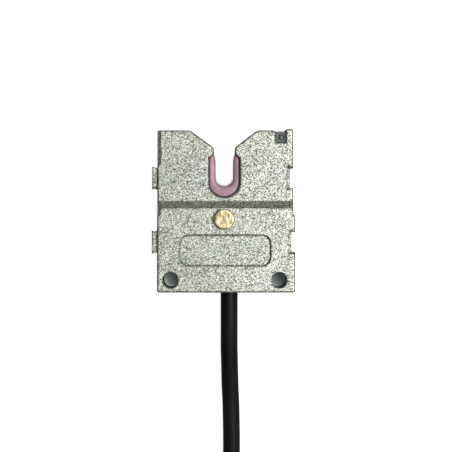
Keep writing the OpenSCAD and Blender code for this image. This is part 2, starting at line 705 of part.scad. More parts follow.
module chip_resistors() color("#1f2326") {
    chip_row(board_left + 5.2, board_bottom_y + 2.6, [2, 1.25, 0.5], 3, 3);
    chip_row(board_arm_x + 1, seat_top_y - 1.5, [2, 1.25, 0.5], 2, 3);
}

module chip_capacitors() color("#b49a6e") {
    chip_row(board_right - 12.2, board_bottom_y + 2.6, [2, 1.25, 0.9], 3, 2.9);
    chip_row(board_left + 4.6, board_top_y - 1.6, [2, 1.25, 0.9], 2, 2.9);
}

module storage_capacitor() color("#c9a13b") translate([board_arm_x + 0.8, upper_dovetail_y - 6.8, board_top_z]) {
    translate([0, 0.6, 0.1]) cube([2.8, 4.8, 1.8]);
    translate([0.4, 0, 0]) cube([2, 6, 0.4]);
}

module signal_lamp() color("#c9d2cc", 0.8) translate([lamp_spot[0], lamp_spot[1], 0]) {
    dome_z = holder_z - 0.6;
    rod([0, 0, lamp_base_z], lamp_d / 2, dome_z - lamp_base_z);
    intersection() {
        translate([0, 0, dome_z]) sphere(lamp_d / 2);
        rod([0, 0, dome_z - gap], lamp_d, lamp_d);
    }
}

// The lamp's legs step down to their holes in the board
module lamp_legs() color("#c4c6c8") for (x = [-leg_x, leg_x])
    tube([for (p = [[lamp_spot[1], lamp_base_z], [lamp_spot[1], lamp_base_z - 0.4], [leg_y, board_top_z + 0.6],
        [leg_y, board_z - 0.5]]) [lamp_spot[0] + x, p[0], p[1]]], leg_r, 8, [1, 0, 0]);

// The holder fills the pocket and stands on the board behind it
module lamp_holder() color("#3a3d40") difference() {
    union() {
        block([pocket_left + gap, pocket_floor_y + gap, front_z + 0.3],
            [pocket_right - gap, top_edge - tab_rise - edge_bevel, holder_z]);
        block([pocket_left + gap, pocket_floor_y + gap, board_top_z],
            [pocket_right - 0.5, top_edge - tab_rise - wall - 0.1, front_z + 0.4]);
    }
    rod([lamp_spot[0], lamp_spot[1], lamp_base_z - gap], lamp_d / 2 + gap, block_h);
    block([lamp_spot[0] - leg_x - 0.3, leg_y - 0.3, board_top_z - cut],
        [lamp_spot[0] + leg_x + 0.3, lamp_spot[1] + 0.3, lamp_base_z]);
}

module cable_collar() color("#26282b") along_y(cable_x, collar_y, cable_z) difference() {
    cylinder(r = cable_d / 2 + collar_wall, h = collar_t);
    translate([0, 0, -cut]) cylinder(r = cable_d / 2 + gap, h = collar_t + 2 * cut);
}

// A core from the end of the jacket to its pad, side being -1, 0 or 1
module core(side) {
    z = board_top_z + core_r;
    x = cable_x + side * core_pitch;
    tube([[cable_x + side * 1.2, jacket_end_y, cable_z], [cable_x + side * 1.2, jacket_end_y + 0.6, cable_z],
        [x, board_bottom_y, z + 0.1], [x, core_end_y, z]], core_r, 8);
}

module supply_core() color("#6b4226") core(-1);
module ground_core() color("#2a5caa") core(1);
module signal_core() color("#1c1d1f") core(0);

module solder_joints() color("#c9ccd0") for (s = [-1, 0, 1]) intersection() {
    translate([cable_x + s * core_pitch, core_end_y + 0.65, board_top_z]) sphere(0.65, $fn = 24);
    translate([cable_x + s * core_pitch - 1, core_end_y, board_top_z]) cube(2);
}

// The outer shape of the wound length, a ring with rounded edges that lies on the surface
module coil_ring() translate([coil_centre[0], coil_centre[1], 0]) rotate_extrude($fn = 72) {
    r0 = coil_inner_turn_r - cable_d / 2;
    r1 = coil_outer_turn_r + cable_d / 2;
    edge = 1.6;
    polygon([[r0 + edge, 0], [r1 - edge, 0], [r1, edge], [r1, coil_h - 2 * edge], [r1 - 2 * edge, coil_h],
        [r0 + 2 * edge, coil_h], [r0, coil_h - 2 * edge], [r0, edge]]);
}

// The tie's band, wrapped round the section of the coil
module tie_block(grow, length) translate([coil_centre[0], coil_centre[1], 0]) rotate([0, 0, tie_angle])
    block([coil_inner_turn_r - cable_d / 2 - grow, -length / 2, 0],
        [coil_outer_turn_r + cable_d / 2 + grow, length / 2, coil_h + grow]);

module jacket_inside() along_y(cable_x, -bottom_edge, cable_z)
    cylinder(r = cable_d / 2 - gap, h = jacket_end_y + bottom_edge);

module cable_lead() color("#1d1f22") {
    difference() {
        tube(lead_route, cable_d / 2, 12);
        coil_ring();
    }
    jacket_inside();
}

// The coil ends where the tail and the plug lie beside its inner turn
module cable_coil() color("#1d1f22") difference() {
    coil_ring();
    tie_bottom();
    block([plug_start[0] - plug_d, tail_route[0][1], -cut],
        [plug_start[0] + plug_d / 2 + 0.5, coil_centre[1] + coil_outer_turn_r, coil_h + cut]);
}

module tie_bottom() translate([coil_centre[0], coil_centre[1], 0]) rotate([0, 0, tie_angle])
    block([coil_inner_turn_r - cable_d, -tie_w / 2, -cut],
        [coil_outer_turn_r + cable_d, tie_w / 2, tie_t]);

module cable_tail() color("#1d1f22") tube(tail_route, cable_d / 2, 12);

module coil_tie() color("#303336") union() {
    difference() {
        tie_block(tie_t, tie_w);
        coil_ring();
    }
    intersection() {
        tie_bottom();
        tie_block(tie_t, tie_w);
    }
}

module on_plug() translate(plug_start) rotate([-90, 0, 0]) children();

module plug_body() color("#1b1d20") on_plug() difference() {
    union() {
        cylinder(r1 = cable_d / 2 + 0.6, r2 = plug_d / 2 - 0.9, h = plug_taper_l);
        translate([0, 0, plug_taper_l]) cylinder(r = plug_d / 2 - 0.3, h = plug_body_l - plug_taper_l);
        for (k = [0 : 3]) translate([0, 0, plug_taper_l + 0.6 + 1.8 * k]) cylinder(r = plug_d / 2, h = 1);
    }
    for (k = [0 : 3]) translate([0, 0, 2.4 + 2.2 * k]) difference() {
        cylinder(r = plug_d, h = 0.9);
        translate([0, 0, -cut]) cylinder(r = cable_d / 2 + 0.3, h = 3 * cut);
    }
}

module plug_sleeve() color("#c6c8ca") on_plug() translate([0, 0, plug_body_l]) difference() {
    union() {
        cylinder(r = plug_sleeve_r, h = plug_sleeve_l);
        translate([0, 0, plug_sleeve_l - 3]) cylinder(r1 = plug_sleeve_r, r2 = plug_sleeve_r + 0.25, h = 0.6);
    }
    translate([0, 0, -cut]) cylinder(r = plug_sleeve_r - plug_sleeve_wall, h = plug_sleeve_l + 2 * cut);
}

module plug_carrier() color("#24262a") on_plug() translate([0, 0, plug_body_l])
    cylinder(r = plug_sleeve_r - plug_sleeve_wall - gap, h = 3);

module plug_pins() color("#d9b44a") on_plug() for (a = [90, 210, 330]) rotate([0, 0, a])
    translate([plug_pin_circle_r, 0, plug_body_l + 3]) {
        cylinder(r = plug_pin_r, h = 3.7);
        translate([0, 0, 3.7]) cylinder(r1 = plug_pin_r, r2 = plug_pin_r / 2, h = 0.4);
    }

rear_housing();
front_housing();
housing_seal();
locating_pins();
cover_screw();
yarn_guide();
guide_sleeve();
bender_shim();
bender_ceramic();
bender_wires();
circuit_board();
board_screws();
amplifier_chip();
comparator_chip();
voltage_regulator();
chip_resistors();
chip_capacitors();
storage_capacitor();
signal_lamp();
lamp_holder();
lamp_legs();
cable_collar();
supply_core();
ground_core();
signal_core();
solder_joints();
cable_lead();
cable_coil();
cable_tail();
coil_tie();
plug_body();
plug_sleeve();
plug_carrier();
plug_pins();
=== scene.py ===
"""Yarn sensor: a zinc die casting in two halves with a pink ceramic yarn guide and a fixed cable.

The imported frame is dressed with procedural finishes. The guide, the screw, the lamp's holder, the cable and
its tie are built here as meshes of their own, in metres, in the frame's own place.
"""

import logging
import math
from dataclasses import dataclass, field
from enum import Enum
from typing import Any, Sequence

import bmesh
import bpy
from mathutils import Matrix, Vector


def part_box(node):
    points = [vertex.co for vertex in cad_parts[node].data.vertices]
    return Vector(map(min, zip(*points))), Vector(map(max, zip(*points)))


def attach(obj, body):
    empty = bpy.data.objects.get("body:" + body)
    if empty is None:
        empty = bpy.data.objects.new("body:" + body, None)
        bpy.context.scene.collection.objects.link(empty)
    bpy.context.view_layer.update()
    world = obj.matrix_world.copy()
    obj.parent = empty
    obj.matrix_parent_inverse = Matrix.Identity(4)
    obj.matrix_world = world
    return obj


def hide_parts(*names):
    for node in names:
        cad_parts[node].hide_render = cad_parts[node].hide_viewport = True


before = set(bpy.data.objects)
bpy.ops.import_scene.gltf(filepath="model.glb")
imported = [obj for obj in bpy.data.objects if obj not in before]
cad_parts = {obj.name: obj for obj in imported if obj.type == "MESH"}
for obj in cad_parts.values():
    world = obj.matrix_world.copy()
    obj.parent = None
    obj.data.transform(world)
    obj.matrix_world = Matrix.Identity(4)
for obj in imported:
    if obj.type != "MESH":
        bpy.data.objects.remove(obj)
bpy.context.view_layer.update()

LOG = logging.getLogger("yarn_sensor")
MM = 0.001
MERGE = 1e-7  # corners that lie closer than this are one
NOISE_SPAN = (0.3, 0.7)  # nearly all values of a noise lie between these two
WAVE_PERIOD = 0.314  # a wave texture of scale 1 repeats after this length
WEAVE_MAP = "weave"  # the UV map that the threads of the tie follow

Flat = tuple[float, float]
Point = tuple[float, float, float]
Route = list[Point]
Span = tuple[float, float]
Stops = tuple[tuple[float, str], ...]
Material = bpy.types.Material
Piece = bpy.types.Object
Socket = bpy.types.NodeSocket
Tree = bpy.types.NodeTree


class Slot(str, Enum):
    """The material slots of the record that match the pieces made here."""

    BRASS = "brass"
    CERAMIC = "pink_ceramic"
    JACKET = "cable_jacket"
    TIE = "tie_fabric"
    HOLDER = "black_plastic"


def linear(hex_colour: str) -> tuple[float, float, float, float]:
    """Turn an sRGB hex colour into the linear colour that the shaders take.

    Args:
        hex_colour: Six hex digits, with or without a leading #.

    Returns:
        Red, green, blue and alpha, from 0 to 1.
    """
    digits = hex_colour.lstrip("#")
    parts = [int(digits[i:i + 2], 16) / 255 for i in (0, 2, 4)]
    red, green, blue = (c / 12.92 if c <= 0.04045 else ((c + 0.055) / 1.055) ** 2.4 for c in parts)
    return red, green, blue, 1.0


def add(tree: Tree, kind: str, inputs: dict[str | int, Any] | Sequence[Any] = (), stops: Stops = (),
        **settings: Any) -> bpy.types.bpy_prop_collection:
    """Add a node to a tree with its settings, colour stops, values and links.

    Args:
        tree: The tree that the node goes into.
        kind: The node's type name.
        inputs: Values, or the sockets that feed them, by name or number, or else in the node's own order.
        stops: Positions and sRGB hex colours of a colour ramp.
        **settings: The node's own properties.

    Returns:
        The node's outputs.
    """
    node = tree.nodes.new(kind)
    for name, value in settings.items():
        setattr(node, name, value)
    if stops:
        elements = node.color_ramp.elements
        while len(elements) < len(stops):
            elements.new(0.5)
        for element, (position, colour) in zip(elements, stops):
            element.position = position
            element.color = linear(colour)
    for key, value in inputs.items() if isinstance(inputs, dict) else enumerate(inputs):
        if isinstance(value, bpy.types.NodeSocket):
            tree.links.new(value, node.inputs[key])
        else:
            node.inputs[key].default_value = value
    return node.outputs


@dataclass(frozen=True)
class Grain:
    """An irregular pattern: the size of its blotches, the finer octaves in them and how much those weigh."""

    size_mm: float
    detail: float = 2.0
    roughness: float = 0.6

    def values(self, place: Socket) -> dict[str, Any]:
        """Give a noise texture's inputs.

        Args:
            place: Coordinates in metres.

        Returns:
            The inputs by name.
        """
        return {"Vector": place, "Scale": 1 / (self.size_mm * MM), "Detail": self.detail,
                "Roughness": self.roughness}


def weighed(tree: Tree, first: Socket, second: Socket, share: float) -> Socket:
    """Add two patterns by their shares.

    Args:
        tree: The material's tree.
        first: The pattern that has the given share.
        second: The pattern that has the rest.
        share: The first one's share, from 0 to 1.

    Returns:
        The sum.
    """
    parts = [add(tree, "ShaderNodeMath", [pattern, weight], operation="MULTIPLY")[0]
             for pattern, weight in ((first, share), (second, 1 - share))]
    return add(tree, "ShaderNodeMath", parts, operation="ADD")[0]


def tinted(tree: Tree, colour: Socket, value: Socket, stops: Stops) -> Socket:
    """Multiply a colour by the tone that another value picks.

    Args:
        tree: The material's tree.
        colour: The colour so far.
        value: What picks the tone, from 0 to 1.
        stops: Positions and sRGB hex colours of the tones.

    Returns:
        The new colour.
    """
    tone = add(tree, "ShaderNodeValToRGB", [value], stops)["Color"]
    return add(tree, "ShaderNodeMix", {0: 1.0, 6: colour, 7: tone}, data_type="RGBA",
               blend_type="MULTIPLY")[2]


def relief(tree: Tree, height: Socket, depth_mm: float, shown: float, edge_mm: float = 0.0,
           rays: int = 6) -> Socket:
    """Turn a height pattern into a bent normal, over edges that are rounded first.

    Args:
        tree: The material's tree.
        height: The pattern, from 0 to 1.
        depth_mm: Depth of the relief.
        shown: Share of the relief that shows.
        edge_mm: Radius that the edges are rounded by, or 0 for sharp ones.
        rays: Number of samples that look for the edges.

    Returns:
        The bent normal.
    """
    inputs = {"Height": height, "Distance": depth_mm * MM, "Strength": shown}
    if edge_mm:
        inputs["Normal"] = add(tree, "ShaderNodeBevel", {"Radius": edge_mm * MM}, samples=rays)["Normal"]
    return add(tree, "ShaderNodeBump", inputs)["Normal"]


def to_the_eye(tree: Tree) -> Socket:
    """Tell the rays that reach the eye straight or through a clear piece.

    Args:
        tree: The tree of a material or of the world.

    Returns:
        1 for such a ray and 0 for any other.
    """
    rays = add(tree, "ShaderNodeLightPath")
    return add(tree, "ShaderNodeMath", [rays["Is Camera Ray"], rays["Is Transmission Ray"]],
               operation="MAXIMUM")[0]


@dataclass(frozen=True)
class Finish:
    """What every finish shares: a name, after the real material and process, and the way its tree starts."""

    name: str

    def build(self) -> Material:
        """Build the material.

        Returns:
            The material, with its shader linked.
        """
        material = bpy.data.materials.new(self.name)
        material.use_nodes = True
        tree = material.node_tree
        tree.nodes.clear()
        place = add(tree, "ShaderNodeTexCoord")["Object"]
        add(tree, "ShaderNodeOutputMaterial", {"Surface": self.surface(tree, place)})
        return material

    def surface(self, tree: Tree, place: Socket) -> Socket:
        """Lay the finish's patterns and shader into its tree.

        Args:
            tree: The material's tree.
            place: The piece's own coordinates in metres.

        Returns:
            The shader.
        """
        raise NotImplementedError


@dataclass(frozen=True)
class CastZinc(Finish):
    """Zinc pressure die casting, tumbled: a sparkling pale grey skin with soft, thinly outlined edges.

    The crystal grains each catch the light in their own way, some warm and some cool, over a duller skin in
    patches. The tumbling has rounded the edges. A thin dark line of painted shade runs along them, and
    painted shade darkens the corners. The real grains are finer than a tenth of a millimetre, and are drawn
    as coarse as they need to be to show.
    """

    name: str = "die_cast_zinc_tumbled"
    crystal_mm: float = 0.24
    crystal_share: float = 0.6
    grain: Grain = Grain(0.32)
    patch: Grain = Grain(6.0, detail=3.0, roughness=0.55)
    relief_mm: float = 0.05
    relief_shown: float = 0.8
    edge_mm: float = 0.42
    rim_mm: float = 1.1
    rim_turn: Span = (0.8, 0.995)
    rim_open: Span = (0.8, 0.97)
    corner_mm: float = 0.7
    rays: int = 8
    metallic: float = 0.85
    roughness: Span = (0.34, 0.5)
    skin: Stops = ((0.22, "#3f4543"), (0.5, "#c4c7bf"), (0.72, "#ffffff"))
    tint: Stops = ((0.2, "#fbf5e6"), (0.5, "#f8f8f0"), (0.8, "#eef6f4"))
    dull: Stops = ((0.3, "#e6e8e4"), (0.7, "#ffffff"))
    # painted shade: tones that darken the corners and draw a dark line along the edges
    corner_shade: Stops = ((0.5, "#6c6d66"), (0.8, "#ffffff"))
    rim: Stops = ((0.0, "#4c4f50"), (1.0, "#ffffff"))

    def surface(self, tree: Tree, place: Socket) -> Socket:
        """Lay the crystals, the dull patches, painted shade in corners and a painted shade line on edges.

        An edge is where a normal that is rounded over rim_mm turns away from the face's own: rim_turn gives
        how near the two are where the line is full and where it ends. That alone would darken the inner
        corners too, so the line fades where the place is shut in, and rim_open gives from where.

        Args:
            tree: The material's tree.
            place: The piece's own coordinates in metres.

        Returns:
            The shader.
        """
        crystals = add(tree, "ShaderNodeTexVoronoi", {"Vector": place, "Scale": 1 / (self.crystal_mm * MM)})
        lots = add(tree, "ShaderNodeSeparateColor", [crystals["Color"]])
        grain = add(tree, "ShaderNodeTexNoise", self.grain.values(place))["Fac"]
        patch = add(tree, "ShaderNodeTexNoise", self.patch.values(place))["Fac"]
        bright = weighed(tree, lots["Red"], grain, self.crystal_share)
        # painted shade in the corners, from ambient occlusion
        around = add(tree, "ShaderNodeAmbientOcclusion", {"Distance": self.corner_mm * MM},
                     samples=self.rays)["AO"]
        # painted shade along convex edges, where the rounded normal turns away from the face
        rounded = add(tree, "ShaderNodeBevel", {"Radius": self.rim_mm * MM}, samples=self.rays)["Normal"]
        facing = add(tree, "ShaderNodeNewGeometry")["True Normal"]
        level = add(tree, "ShaderNodeVectorMath", [rounded, facing], operation="DOT_PRODUCT")["Value"]
        flat = add(tree, "ShaderNodeMapRange", [level, *self.rim_turn, 0.0, 1.0])["Result"]
        inner = add(tree, "ShaderNodeMapRange", [around, *self.rim_open, 1.0, 0.0])["Result"]
        edge_unshaded = add(tree, "ShaderNodeMath", [flat, inner], operation="MAXIMUM")[0]
        colour = add(tree, "ShaderNodeValToRGB", [bright], self.skin)["Color"]
        # the last two tones are painted shade: darker corners and a dark line on the edges
        for value, stops in ((lots["Green"], self.tint), (patch, self.dull), (around, self.corner_shade),
                             (edge_unshaded, self.rim)):
            colour = tinted(tree, colour, value, stops)
        normal = relief(tree, bright, self.relief_mm, self.relief_shown, self.edge_mm, self.rays)
        return add(tree, "ShaderNodeBsdfPrincipled", {
            "Base Color": colour, "Metallic": self.metallic, "Normal": normal,
            "Roughness": add(tree, "ShaderNodeMapRange", [lots["Blue"], 0.0, 1.0, *self.roughness])["Result"]
        })["BSDF"]


@dataclass(frozen=True)
class WornBrass(Finish):
    """Bare brass turned from hexagon bar: fine spanner scratches, patches of tarnish, bright high spots.

    Real scratches are finer than a tenth of a millimetre, and are drawn as coarse as they need to be to show.
    """

    name: str = "turned_brass_worn"
    scratch: Grain = Grain(0.7, detail=3.0)
    scratch_turn: float = -8.0
    scratch_stretch: Point = (1.3, 0.3, 1.0)
    tarnish: Grain = Grain(1.3, detail=3.0)
    tarnish_share: float = 0.45
    relief_mm: float = 0.02
    relief_shown: float = 0.6
    metallic: float = 0.95
    roughness: Span = (0.28, 0.46)
    tones: Stops = ((0.36, "#8f7c4e"), (0.5, "#e0d09e"), (0.6, "#fff8e2"))

    def surface(self, tree: Tree, place: Socket) -> Socket:
        """Lay the scratches over the tarnish.

        Args:
            tree: The material's tree.
            place: The piece's own coordinates in metres.

        Returns:
            The shader.
        """
        turn = (0, 0, math.radians(self.scratch_turn))
        along = add(tree, "ShaderNodeMapping", {"Vector": place, "Rotation": turn,
                                                "Scale": self.scratch_stretch})["Vector"]
        scratch = add(tree, "ShaderNodeTexNoise", self.scratch.values(along))["Fac"]
        tarnish = add(tree, "ShaderNodeTexNoise", self.tarnish.values(place))["Fac"]
        worn = weighed(tree, tarnish, scratch, self.tarnish_share)
        return add(tree, "ShaderNodeBsdfPrincipled", {
            "Base Color": add(tree, "ShaderNodeValToRGB", [worn], self.tones)["Color"],
            "Metallic": self.metallic,
            "Roughness": add(tree, "ShaderNodeMapRange", [scratch, *NOISE_SPAN, *self.roughness])["Result"],
            "Normal": relief(tree, scratch, self.relief_mm, self.relief_shown)})["BSDF"]


@dataclass(frozen=True)
class SinteredCeramic(Finish):
    """Sintered oxide ceramic, pink all through: fine speckle, satin skin, greyer clouds of yarn dirt.

    The real grains can't be seen by eye, so the speckle is drawn as coarse as it needs to be to show.
    """

    name: str = "sintered_oxide_ceramic_pink"
    speckle: Grain = Grain(0.3)
    cloud: Grain = Grain(3.0, roughness=0.5)
    relief_mm: float = 0.02
    relief_shown: float = 0.5
    ior: float = 1.7
    roughness: Span = (0.42, 0.56)
    body: Stops = ((0.25, "#94727e"), (0.5, "#b18a96"), (0.78, "#c6a0a9"))
    grime: Stops = ((0.3, "#dcd8dc"), (0.7, "#ffffff"))

    def surface(self, tree: Tree, place: Socket) -> Socket:
        """Lay the speckle and the grime.

        Args:
            tree: The material's tree.
            place: The piece's own coordinates in metres.

        Returns:
            The shader.
        """
        speckle = add(tree, "ShaderNodeTexNoise", self.speckle.values(place))["Fac"]
        cloud = add(tree, "ShaderNodeTexNoise", self.cloud.values(place))["Fac"]
        body = add(tree, "ShaderNodeValToRGB", [speckle], self.body)["Color"]
        return add(tree, "ShaderNodeBsdfPrincipled", {
            "Base Color": tinted(tree, body, cloud, self.grime), "IOR": self.ior,
            "Roughness": add(tree, "ShaderNodeMapRange", [speckle, *NOISE_SPAN, *self.roughness])["Result"],
            "Normal": relief(tree, speckle, self.relief_mm, self.relief_shown)})["BSDF"]


@dataclass(frozen=True)
class Moulded(Finish):
    """Moulded, extruded or printed skin: a fine texture and a slight unevenness of tone and gloss.

    Used for PVC, rubber, epoxy, nylon and the like, which differ by colour, gloss and the texture's size.
    Most real textures are finer than a tenth of a millimetre, and are drawn as coarse as they need to be to
    show.
    """

    colour: str
    lighter: str
    roughness: float = 0.45
    texture_mm: float = 0.25
    relief_mm: float = 0.01
    edge_mm: float = 0.0
    stretch: Point = (1.0, 1.0, 1.0)
    gloss: float = 0.5
    texture_share: float = 0.4
    cloud_ratio: float = 20.0
    cloud_roughness: float = 0.5
    uneven: float = 0.06
    relief_shown: float = 0.6
    tone_span: Span = (0.35, 0.65)

    def surface(self, tree: Tree, place: Socket) -> Socket:
        """Lay the texture over broad clouds of tone.

        Args:
            tree: The material's tree.
            place: The piece's own coordinates in metres.

        Returns:
            The shader.
        """
        along = add(tree, "ShaderNodeMapping", {"Vector": place, "Scale": self.stretch})["Vector"]
        texture = add(tree, "ShaderNodeTexNoise", Grain(self.texture_mm).values(along))["Fac"]
        cloud = Grain(self.cloud_ratio * self.texture_mm, roughness=self.cloud_roughness)
        tone = add(tree, "ShaderNodeTexNoise", cloud.values(place))["Fac"]
        mixed = weighed(tree, texture, tone, self.texture_share)
        tones = tuple(zip(self.tone_span, (self.colour, self.lighter)))
        rough = (self.roughness - self.uneven, self.roughness + self.uneven)
        return add(tree, "ShaderNodeBsdfPrincipled", {
            "Base Color": add(tree, "ShaderNodeValToRGB", [mixed], tones)["Color"],
            "Specular IOR Level": self.gloss,
            "Roughness": add(tree, "ShaderNodeMapRange", [tone, *NOISE_SPAN, *rough])["Result"],
            "Normal": relief(tree, texture, self.relief_mm, self.relief_shown, self.edge_mm)})["BSDF"]


@dataclass(frozen=True)
class Plated(Finish):
    """Plated, tinned or rolled metal: a thin bright skin with faint marks from rolling and handling.

    The marks are drawn coarser than real ones, to show.
    """

    colour: str
    darker: str
    roughness: float = 0.28
    mark_mm: float = 0.6
    mark_detail: float = 3.0
    duller: float = 0.1
    brighter: float = 0.06
    metallic: float = 1.0
    relief_mm: float = 0.01
    relief_shown: float = 0.4
    tone_span: Span = (0.35, 0.6)

    def surface(self, tree: Tree, place: Socket) -> Socket:
        """Lay the marks, duller where they are darker.

        Args:
            tree: The material's tree.
            place: The piece's own coordinates in metres.

        Returns:
            The shader.
        """
        marks = add(tree, "ShaderNodeTexNoise", Grain(self.mark_mm, self.mark_detail).values(place))["Fac"]
        tones = tuple(zip(self.tone_span, (self.darker, self.colour)))
        rough = (self.roughness + self.duller, self.roughness - self.brighter)
        return add(tree, "ShaderNodeBsdfPrincipled", {
            "Base Color": add(tree, "ShaderNodeValToRGB", [marks], tones)["Color"],
            "Metallic": self.metallic,
            "Roughness": add(tree, "ShaderNodeMapRange", [marks, *NOISE_SPAN, *rough])["Result"],
            "Normal": relief(tree, marks, self.relief_mm, self.relief_shown)})["BSDF"]


@dataclass(frozen=True)
class ClearLens(Finish):
    """Injection moulded clear resin of a signal lamp: a see-through, slightly milky, glossy dome."""

    name: str = "moulded_clear_resin"
    milk: Grain = Grain(0.5, roughness=0.5)
    clear: float = 0.7
    ior: float = 1.53
    roughness: Span = (0.08, 0.2)
    tones: Stops = ((0.3, "#9aa5a2"), (0.7, "#c2ccc8"))

    def surface(self, tree: Tree, place: Socket) -> Socket:
        """Lay the milky clouds into the clear resin.

        Args:
            tree: The material's tree.
            place: The piece's own coordinates in metres.

        Returns:
            The shader.
        """
        milk = add(tree, "ShaderNodeTexNoise", self.milk.values(place))["Fac"]
        return add(tree, "ShaderNodeBsdfPrincipled", {
            "Base Color": add(tree, "ShaderNodeValToRGB", [milk], self.tones)["Color"],
            "Transmission Weight": self.clear, "IOR": self.ior,
            "Roughness": add(tree, "ShaderNodeMapRange", [milk, *NOISE_SPAN, *self.roughness])["Result"]
        })["BSDF"]


@dataclass(frozen=True)
class WovenTie(Finish):
    """Woven hook-and-loop tape: crossing threads, raised in turn, with a dull pile."""

    name: str = "woven_nylon_tape"
    thread_mm: float = 0.5
    relief_mm: float = 0.12
    relief_shown: float = 0.8
    roughness: float = 0.85
    sheen: float = 0.2
    tones: Stops = ((0.2, "#17181a"), (0.9, "#3b3d41"))

    def surface(self, tree: Tree, place: Socket) -> Socket:
        """Lay the threads along the tape and across it.

        Args:
            tree: The material's tree.
            place: The piece's own coordinates; not used.

        Returns:
            The shader.
        """
        along = add(tree, "ShaderNodeUVMap", uv_map=WEAVE_MAP)["UV"]
        threads = [add(tree, "ShaderNodeTexWave",
                       {"Vector": along, "Scale": WAVE_PERIOD / (self.thread_mm * MM)},
                       bands_direction=axis, wave_type="BANDS")["Fac"] for axis in ("X", "Y")]
        height = add(tree, "ShaderNodeMath", threads, operation="MAXIMUM")[0]
        # painted shade: the colour is darker where the threads lie lower, in the weave's hollows
        return add(tree, "ShaderNodeBsdfPrincipled", {
            "Base Color": add(tree, "ShaderNodeValToRGB", [height], self.tones)["Color"],
            "Roughness": self.roughness, "Sheen Weight": self.sheen,
            "Normal": relief(tree, height, self.relief_mm, self.relief_shown)})["BSDF"]


@dataclass(frozen=True)
class WhiteTable(Finish):
    """Matt white table top: plain white to the eye, with the part's shadow on it, and grey inside its holes.

    The white is a glow that only the eye sees, because the light that suits the part would leave the paint
    grey. Inside a narrow hole the glow is painted grey as shade, lighter where the way towards the lamp is
    open, so the floor's far side from the lamp is lighter than the near one.
    """

    name: str = "white_table"
    white: str = "#fafafa"
    mirrored: float = 0.14
    paint: float = 0.25
    hole_mm: float = 4.0
    hole_open: Span = (0.38, 0.44)
    to_lamp: Point = (0.71, 0.5, 0.5)
    rays: int = 32
    shade: Stops = ((0.35, "#2e3234"), (0.55, "#6e7272"), (0.75, "#b0b4b2"))

    def surface(self, tree: Tree, place: Socket) -> Socket:
        """Add the glow and the paint, which takes the shadow.

        Args:
            tree: The material's tree.
            place: The table's own coordinates; not used.

        Returns:
            The shader.
        """
        glossy = add(tree, "ShaderNodeLightPath")["Is Glossy Ray"]
        mirrored = add(tree, "ShaderNodeMath", [glossy, self.mirrored], operation="MULTIPLY")[0]
        seen = add(tree, "ShaderNodeMath", [to_the_eye(tree), mirrored], operation="MAXIMUM")[0]
        reach = self.hole_mm * MM
        # painted shade: inside narrow holes the glow goes grey, lighter where the way to the lamp is open
        around = add(tree, "ShaderNodeAmbientOcclusion", {"Distance": reach}, samples=self.rays)["AO"]
        hole = add(tree, "ShaderNodeMapRange", [around, *self.hole_open, 1.0, 0.0])["Result"]
        to_lamp = add(tree, "ShaderNodeCombineXYZ", self.to_lamp)[0]
        lit = add(tree, "ShaderNodeAmbientOcclusion", {"Distance": reach, "Normal": to_lamp},
                  samples=self.rays)["AO"]
        shade = add(tree, "ShaderNodeValToRGB", [lit], self.shade)["Color"]
        colour = add(tree, "ShaderNodeMix", {0: hole, 6: linear(self.white), 7: shade}, data_type="RGBA")[2]
        glow = add(tree, "ShaderNodeEmission", {"Color": colour, "Strength": seen})[0]
        paint = add(tree, "ShaderNodeBsdfDiffuse", {"Color": (self.paint, self.paint, self.paint, 1)})[0]
        return add(tree, "ShaderNodeAddShader", [glow, paint])[0]


def make_mesh(name: str, points: Sequence[Sequence[float]], faces: Sequence[Sequence[int]],
              material: Material, smooth_deg: float) -> Piece:
    """Make a mesh object at the origin with outward faces.

    Args:
        name: The piece's name.
        points: Vertex places in metres.
        faces: Vertex numbers of each face.
        material: The piece's finish.
        smooth_deg: Faces that meet at a smaller angle are shaded as one surface.

    Returns:
        The new object, linked to the scene.
    """
    mesh = bpy.data.meshes.new(name)
    mesh.from_pydata([tuple(p) for p in points], [], [tuple(f) for f in faces])
    shell = bmesh.new()
    shell.from_mesh(mesh)
    bmesh.ops.remove_doubles(shell, verts=shell.verts, dist=MERGE)
    bmesh.ops.recalc_face_normals(shell, faces=shell.faces)
    shell.to_mesh(mesh)
    shell.free()
    mesh.materials.append(material)
    piece = bpy.data.objects.new(name, mesh)
    bpy.context.scene.collection.objects.link(piece)
    mesh.shade_smooth()
    mesh.set_sharp_from_angle(angle=math.radians(smooth_deg))
    return piece


def rings_mesh(rings: Sequence[Sequence[Sequence[float]]], closed: bool = False
               ) -> tuple[list[Sequence[float]], list[list[int]]]:
    """Skin rings of equal count into a tube.

    Args:
        rings: The rings, each a list of points in the same order.
        closed: True if the last ring joins the first, else both ends are capped.

    Returns:
        Points and faces.
    """
    count = len(rings[0])
    points = [p for ring in rings for p in ring]
    faces = []
    for i in range(len(rings) if closed else len(rings) - 1):
        here = i * count
        there = (i + 1) % len(rings) * count
        for k in range(count):
            after = (k + 1) % count
            faces.append([here + k, here + after, there + after, there + k])
    if not closed:
        faces.append(list(range(count))[::-1])
        faces.append([(len(rings) - 1) * count + k for k in range(count)])
    return points, faces


def arc(centre: Flat, radius: float, start: float, end: float, steps: int) -> list[Flat]:
    """Lay points along an arc.

    Args:
        centre: The arc's centre.
        radius: The arc's radius.
        start: Angle of the first point in degrees.
        end: Angle of the last point in degrees.
        steps: Number of straight pieces.

    Returns:
        The points, both ends included.
    """
    turns = [math.radians(start + (end - start) * k / steps) for k in range(steps + 1)]
    return [(centre[0] + radius * math.cos(turn), centre[1] + radius * math.sin(turn)) for turn in turns]


